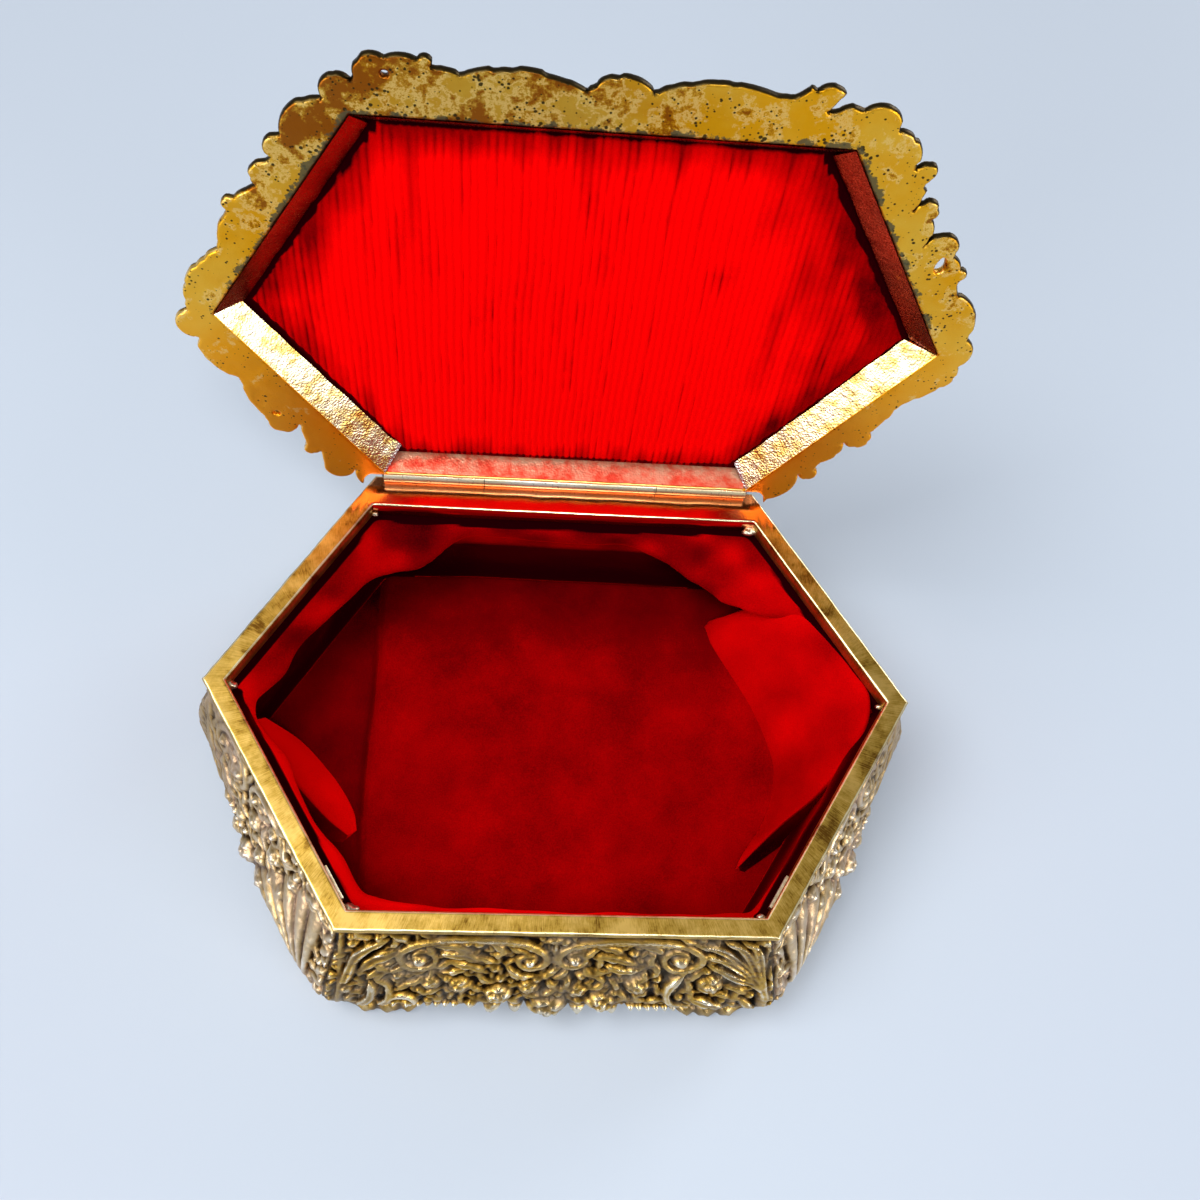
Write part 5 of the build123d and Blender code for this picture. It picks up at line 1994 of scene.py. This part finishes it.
@dataclass
class LidLining:
    """The lid's velvet panel, ribbed from the hinge side to the front."""

    case: CaseSizes
    lid: LidPlace
    margin: float = 2.35
    face: float = 4.1
    back: float = 4.45
    puffed_from: tuple[float, ...] = (3.6, 5.1, 5.0, 3.6, 5.3, 4.9)
    rib_pitch: float = 1.36
    rib_depth: float = 0.34
    ribs_share: float = 1.14
    swell: float = 0.7
    column_mm: float = 0.2
    rows: int = 46

    def build(self, finish: Material) -> None:
        """Make the panel.

        Args:
            finish: the velvet.
        """
        panel = self.lid.mouth(self.case).moved([-self.margin] * SIDES)
        share = np.linspace(0, 1, self.rows)
        x, y = panel.filled(0.15, self.column_mm, share)
        sway = 0.25 * uneven(x + 80, y + 80, 11.0, 51)
        rib = np.abs(np.sin(np.pi * (x + sway) / self.rib_pitch)) ** 0.75
        puffed = self.lid.mouth(self.case).moved([-inset for inset in self.puffed_from])
        inset = puffed.inset_of(x, y) + 0.25 * uneven(x + 80, y + 80, 3.0, 53)
        puff = self.swell * (1 - np.exp(-np.maximum(inset, 0) / 5)) + 0.1 * uneven(x + 80, y + 80, 14.0, 52)
        depth = self.face - step(inset, -0.5, 0.9) * (0.35 + self.rib_depth * rib + puff)
        shut = with_flat_back(x, y, depth, self.back)
        points = self.lid.opened(shut[..., :2], shut[..., 2])
        # Painted shade in the grooves between the ribs, deeper in some grooves than in others
        which = np.round((x + sway) / self.rib_pitch).astype(int)
        groove = np.random.default_rng(55).uniform(0.1, 1.0, 200)[which + 100] * (1 - rib) ** 1.3
        groove *= 0.6 + 0.4 * uneven(x * 3 + 260, y + 40, 3.0, 56)
        # Painted light: brighter away from the panel's edge and towards the hinge, darker on the right and
        # in the left front corner, with random patches
        lean = 0.06 + 0.46 * step(inset, 0.0, 8.0) - 0.7 * groove + 0.1 * share
        lean -= 0.55 * step(x, 18.0, 56.0) + 0.2 * step(-x - 0.5 * y, 20.0, 50.0) * (1 - share)
        lean += 0.22 * uneven(x * 2 + 160, y * 0.35 + 40, 5.0, 54)
        # Painted shade: a near black strip along the panel's edge
        lean = np.maximum(lean, -0.16) - 1.2 * step(0.2 - inset, 0.0, 0.6)
        lean = np.hstack([lean, np.zeros((len(x), 3))])
        lining = make_piece("ribbed_velvet", points, tube_faces(points), Body.LID, finish,
                            {"lean": lean}, crease=70)
        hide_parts("lid_lining")


@dataclass
class LidDome:
    """The lid's raised top: a hollow casting with scrolls round it and a rose bouquet in an oval ring."""

    case: CaseSizes
    lid: LidPlace
    foot_reach: float = 1.8
    back_foot_reach: float = 0.8
    wall: float = 1.4
    foot: float = 1.6
    crown_inset: float = 22.0
    crown: float = 12.8
    oval: tuple[float, float] = (28.0, 15.0)
    patina_step: float = 0.9
    hidden_patina: float = 0.2
    step_mm: float = 0.5

    def profile(self) -> np.ndarray:
        """Reach and height of the outside, from the foot to the crown's edge, at even steps."""
        bends = [(self.foot_reach, self.foot), (1.5, 3.2), (0.5, 5.8), (-0.7, 7.6), (-3.6, 9.2),
                 (-9.0, 10.9), (-15.5, 12.2), (-self.crown_inset, self.crown)]
        return resampled(curve_through(bends, 300), self.step_mm)

    def side_ornament(self, drawing: Relief, half: float, seed: int) -> None:
        """Scrolls, roses and leaves along one side.

        Args:
            drawing: the drawing, with x from the side's middle and y inwards from the lid's edge.
            half: half the side's length.
            seed: which side it is.
        """
        count = max(2, round(half / 11))
        for i in range(count):
            x = (2 * i + 1 - count) * half / count * 0.86
            drawing.scroll(x, 9.2, 5.4, 4.2, 1.0, eyes=(2.0, 2.0), band=0.95)
            drawing.rose(x, 8.6, 2.4, 1.1, turn=x + seed)
            for way in (-1, 1):
                drawing.leaf([(x + way * 1.4, 6.0), (x + way * 4.2, 4.4), (x + way * 7.2, 5.4)], 1.2, 0.8)
        for i in range(count - 1):
            x = (2 * i + 2 - count) * half / count * 0.86
            drawing.daisy(x, 6.2, 2.2, 1.0, 7)
            drawing.leaf([(x, 8.8), (x + 0.6, 12.0), (x, 15.0)], 1.3, 0.8)
        drawing.fill(1.2, 17.0, 3.4, 0.8, seed + 80)

    def crown_ornament(self, drawing: Relief) -> None:
        """A bouquet of roses inside an oval of scrolls.

        Args:
            drawing: the drawing, seen from above the shut lid.
        """
        half_long, half_wide = self.oval
        angle = np.linspace(0, 2 * math.pi, 120)
        oval = np.stack([half_long * np.cos(angle), half_wide * np.sin(angle)], 1)
        drawing.stroke(oval, 0.8 + 0.35 * np.abs(np.sin(6 * angle)), 1.1, groove=0.3)
        for i in range(12):
            turn = i * math.pi / 6
            x, y = half_long * math.cos(turn), half_wide * math.sin(turn)
            bend = 1.6 * math.sin(turn)
            drawing.leaf([(x * 0.98, y * 0.98), (x * 1.1 + bend, y * 1.16), (x * 1.2, y * 1.34)], 1.3, 0.9)
        drawing.rose(0, 0, 5.2, 1.6)
        for x, y, radius in ((-8.4, 1.2, 3.4), (8.4, -1.0, 3.4), (-16.2, -1.4, 2.9), (16.2, 1.6, 2.9),
                             (-4.0, 6.8, 2.2), (4.6, -7.0, 2.2), (5.4, 6.6, 2.0), (-5.6, -6.6, 2.0)):
            drawing.rose(x, y, radius, 1.35, turn=x)
        for way in (-1, 1):
            for x, y, bend in ((19, 3, 5), (19, -3, -5), (12, 6, 4), (12, -6, -4)):
                middle, tip = (way * (x + 2.6), y + bend * 0.5), (way * (x + 3.4), y + bend)
                drawing.leaf([(way * x, y), middle, tip], 1.2, 1.0)
        drawing.fill(-24.0, 24.0, 3.6, 0.8, 90)
        away = np.hypot(drawing.x / 42.0, drawing.y / 25.0)
        drawing.height = drawing.height * step(1 - away, 0.0, 0.08)

    def build(self, finish: Material) -> None:
        """Make the dome.

        Args:
            finish: the cast metal.
        """
        mouth = self.lid.mouth(self.case)
        profile = self.profile()
        reach, height = profile.T
        tangent = directions(profile)
        inwards = self.foot_reach - reach
        shrink = np.linspace(1, 0.004, int(self.crown_inset / self.step_mm))[1:]
        # The hinge side's foot is kept in
        kept_in = (self.foot_reach - self.back_foot_reach) * step(-inwards, -3.0, 0.0)
        rings = [mouth.moved(with_back(out, back)) for out, back in zip(reach, reach - kept_in)]
        plans, heights, lifts = [], [], []
        for side in Side:
            length = mouth.length(side)
            count = int(length / self.step_mm)
            share = np.arange(count)[:, None] / count
            plan = np.stack([ring.between(side, share) for ring in rings], 1)
            drawing = Relief((share - 0.5) * length + 0 * reach, inwards + 0 * share)
            self.side_ornament(drawing, length / 2, side)
            plans.append(np.concatenate([plan, plan[:, -1:, :] * shrink[:, None]], axis=1))
            lifts.append(np.hstack([np.maximum(drawing.height, 0), np.zeros((count, len(shrink)))]))
            heights.append(np.concatenate([height, np.full(len(shrink), self.crown)]) + 0 * share)
        plan, base, lift = np.vstack(plans), np.vstack(heights), np.vstack(lifts)
        middle = Relief(plan[..., 0], plan[..., 1])
        self.crown_ornament(middle)
        ground = 0.12 * uneven(plan[..., 0] + 90, plan[..., 1] + 90, 2.4, 61)
        lift = np.maximum(lift, middle.height) + ground
        lift[:, :4] *= np.linspace(0, 1, 4)
        lift = (lift + np.roll(lift, 1, 0) + np.roll(lift, -1, 0)) / 3
        tilt = np.vstack([tangent, np.tile([(-1.0, 0.0)], (len(shrink), 1))])
        outward = plan / np.maximum(np.linalg.norm(plan, axis=2, keepdims=True), 1e-6)
        outside = self.lid.opened(plan + outward * (lift * tilt[:, 1])[..., None], base - lift * tilt[:, 0])
        # The inside follows the outside one wall thickness behind, with few rows
        inner = np.r_[np.arange(plan.shape[1] - 1, 0, -8), 0]
        inset, sink = self.wall * np.abs(tilt[inner, ::-1]).T
        inside = self.lid.opened(plan[:, inner] - outward[:, inner] * inset[:, None],
                                 np.maximum(base[:, inner] - sink, self.foot))
        points = np.hstack([outside, inside])
        columns, rows = points.shape[:2]
        quads = torus_faces(points).reshape(columns, rows, 4)
        middle_row = outside.shape[1] - 1
        quads = np.delete(quads, middle_row, axis=1).reshape(-1, 4).tolist()
        ring = np.arange(columns) * rows
        faces = quads + [(ring + middle_row).tolist(), (ring + middle_row + 1).tolist()]
        # Wear with painted shade in the hollows and painted highlights on the ridges; the hidden inside gets
        # one fixed value
        rubbed_and_highlit = np.hstack([patina_and_painted_light(lift, self.patina_step), np.full(inside.shape[:2], self.hidden_patina)])
        dome = make_piece("cast_dome", points, faces, Body.LID, finish, {"relief": rubbed_and_highlit})
        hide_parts("lid_dome")


# Studio


@dataclass
class Studio:
    """A pale table, soft lights and the camera."""

    eye_mm: tuple[float, float, float] = (-13.335, -92.848, 266.17)
    yaw: float = 10.34
    pitch: float = 63.36
    roll: float = 11.58
    lens_mm: float = 37.5
    table_half: float = 1.5
    table_tone: str = "#C8D2DF"
    light_level: float = 0.51
    seen_level: float = 0.8
    bright_way: tuple[float, float, float] = (-0.4, 0.1, 0.91)
    # Name, place and target in metres, width in metres, watts
    lamps: tuple[tuple, ...] = (
        ("overhead_lamp", (-0.45, -0.05, 0.95), (0, 0, 0.03), 0.5, 5.4),
        ("top_lamp", (0.05, -0.4, 0.9), (0, 0, 0.03), 0.2, 2.6),
        ("left_lamp", (-0.85, -0.8, 0.3), (0, 0, 0.06), 0.6, 6.2),
        ("right_lamp", (0.85, -0.75, 0.3), (0, 0, 0.06), 0.5, 4.2),
        ("back_lamp", (0.85, 0.75, 0.45), (0.15, 0.1, 0), 0.5, 4.0),
    )

    def camera(self) -> None:
        """The camera, above and in front of the casket, turned a little on its axis."""
        yaw, pitch, roll = (math.radians(v) for v in (self.yaw, self.pitch, self.roll))
        ahead = Vector((math.sin(yaw) * math.cos(pitch), math.cos(yaw) * math.cos(pitch), -math.sin(pitch)))
        level = Vector((math.cos(yaw), -math.sin(yaw), 0.0))
        upright = level.cross(ahead)
        right = level * math.cos(roll) + upright * math.sin(roll)
        up = upright * math.cos(roll) - level * math.sin(roll)
        lens = bpy.data.cameras.new("camera")
        lens.lens = self.lens_mm
        lens.sensor_width = 36.0
        lens.clip_start = 0.01
        camera = bpy.data.objects.new("camera", lens)
        turn = Matrix((right, up, -ahead)).transposed().to_4x4()
        camera.matrix_world = Matrix.Translation(Vector(self.eye_mm) * MM) @ turn
        bpy.context.scene.collection.objects.link(camera)
        bpy.context.scene.camera = camera

    def table(self) -> None:
        """A plain pale table."""
        mesh = bpy.data.meshes.new("table")
        half = self.table_half
        corners = [(x * half, y * half, 0) for x, y in ((-1, -1), (1, -1), (1, 1), (-1, 1))]
        mesh.from_pydata(corners, [], [(0, 1, 2, 3)])
        table = bpy.data.objects.new("table", mesh)
        bpy.context.scene.collection.objects.link(table)
        paint = Paint(bpy.data.materials.new("pale_table"))
        tone = linear(self.table_tone)
        mesh.materials.append(paint.finish(tone, 0.6, 0.0, more={"Specular IOR Level": 0.2}))

    def hang(self) -> None:
        """Soft square white lamps."""
        for name, place, target, size, watts in self.lamps:
            light = bpy.data.lights.new(name, "AREA")
            light.shape = "SQUARE"
            light.size = size
            light.energy = watts
            lamp = bpy.data.objects.new(name, light)
            aim = Vector(target) - Vector(place)
            lamp.matrix_world = Matrix.Translation(place) @ aim.to_track_quat("-Z", "Y").to_matrix().to_4x4()
            bpy.context.scene.collection.objects.link(lamp)

    def sky(self) -> None:
        """Pale light from all round, brightest overhead and to the left."""
        world = bpy.data.worlds.new("studio")
        bpy.context.scene.world = world
        paint = Paint(world, "Generated", 1.0)
        facing = paint.add("ShaderNodeVectorMath", {"operation": "DOT_PRODUCT"},
                           {0: paint.place, 1: self.bright_way}).outputs["Value"]
        shade = paint.ramp(facing, (0.0, "#B4BAC2"), (0.6, "#8E9298"), (0.77, "#9A9EA6"), (0.88, "#F0F4FA"))
        rays = paint.add("ShaderNodeLightPath").outputs
        seen = paint.maths("MAXIMUM", rays["Is Camera Ray"], rays["Is Glossy Ray"])
        seen = paint.maths("MAXIMUM", seen, rays["Is Transmission Ray"])
        strength = paint.mix_in(seen, self.seen_level - self.light_level, self.light_level)
        light = paint.add("ShaderNodeBackground", inputs={"Color": shade, "Strength": strength})
        paint.add("ShaderNodeOutputWorld", inputs={"Surface": light.outputs[0]})

    def build(self) -> None:
        """Set the table, the lamps and the camera."""
        self.camera()
        self.table()
        self.sky()
        self.hang()
        bpy.context.scene.view_settings.view_transform = "Standard"


def main() -> None:
    """Build every sub-assembly in order and dress it."""
    logging.basicConfig(level=logging.INFO, format="%(name)s: %(message)s")
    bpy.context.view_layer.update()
    case = CaseSizes.from_frame()
    cast = CastGilt().build()
    # A copy of the cast gilt for the slanted sides: partly a paler, more matte tone, partly painted light
    # from the side
    sidelit_champagne = CastGilt("champagne_cast_gilt", hollow="#38240E", middle="#AC8C5A", gold="#DCC29A",
                         rubbed_and_highlit="#FFF4E4", dust="#C8A890", polished_roughness=0.28,
                         dull_roughness=0.48).build()
    SidePanels(case).build(cast, sidelit_champagne)
    log.info("six cast panels")
    Rim(case).build(ScratchedGilt().build())
    Feet(case).build(cast)
    log.info("rim and feet")
    well_velvet = Velvet("well_velvet", "#740003", "#F00204", brushed_share=0.24).build()
    low, high = box_mm("floor_pad")
    FloorPad(case, low[2], high[2]).build(well_velvet)
    WellBand(case, high[2]).build(well_velvet)
    log.info("velvet floor and band")
    lid = LidPlace.from_frame(case)
    LidBorder(case, lid).build(WornGilt().build())
    log.info("pierced border")
    # Dark red, a painted reflection of the velvet with painted shade, for the front and far left strips
    dark_red_reflecting_thin_gilt = FlatGilt("dark_red_reflecting_thin_gilt", gold="#7C3C28", pale="#965438", roughness=0.16).build()
    # The hinge strip's pink is a painted reflection of the velvet
    velvet_reflecting = HammeredGilt("rosy_beaten_gilt", gold="#FF7050", pale="#FFBE98", thin="#F03C2C", dent_mm=0.42,
                        roughness=0.3, metallic=0.55).build()
    # A copy painted darker still, as shade, for the far right strip
    shaded_red_reflecting_gilt = FlatGilt("shaded_red_reflecting_thin_gilt", gold="#5E1810", pale="#78261A", roughness=0.2).build()
    LidWalls(case, lid).build(HammeredGilt().build(), velvet_reflecting, dark_red_reflecting_thin_gilt, shaded_red_reflecting_gilt)
    # The lid's velvet is the well's velvet painted brighter, for the sheen it shows standing upright
    LidLining(case, lid).build(Velvet("sheen_lit_lid_velvet", "#B00002", "#F60203").build())
    log.info("strips and ribbed velvet")
    LidDome(case, lid).build(cast)
    log.info("dome")
    hinge_gilt = FlatGilt("hinge_gilt", gold="#F4E0B4", pale="#FFF6E0", blotch_start=0.78, speck_start=0.86,
                          roughness=0.26).build()
    dress("base_hinge_leaf", hinge_gilt)
    dress("lid_hinge_leaf", FlatGilt("rubbed_hinge_gilt", gold="#F0E2C0", pale="#FFFAF0", blotch_start=0.78,
                                     speck_start=0.84, roughness=0.26).build())
    wire = PlainStuff("drawn_steel_wire", "#9A9CA0", "#6A6460", 1.0, 0.35, 0.4, (0.1, 1, 1)).build()
    dress("hinge_pin", wire)
    sheet = PlainStuff("rolled_brass_sheet", "#A88B52", "#6E5428", 1.0, 0.42, 1.5, (0.2, 1, 1)).build()
    dress("bottom_plate", sheet)
    dress("bottom_lugs", sheet)
    solder = PlainStuff("soft_solder", "#E6D8C0", "#9A8A70", 1.0, 0.34, 0.8).build()
    Solder(case).build(solder)
    dress("rim_tabs", PlainStuff("tinned_brass", "#F2E2C4", "#C8AE84", 1.0, 0.36, 0.9).build())
    board = PlainStuff("grey_board", "#8B7D68", "#6F6250", 0.0, 0.9, 0.5).build()
    dress("floor_card", board)
    dress("lid_card", board)
    log.info("hinge, solder, bottom and cards")
    Studio().build()
    log.info("studio")


if __name__ == "__main__":
    main()
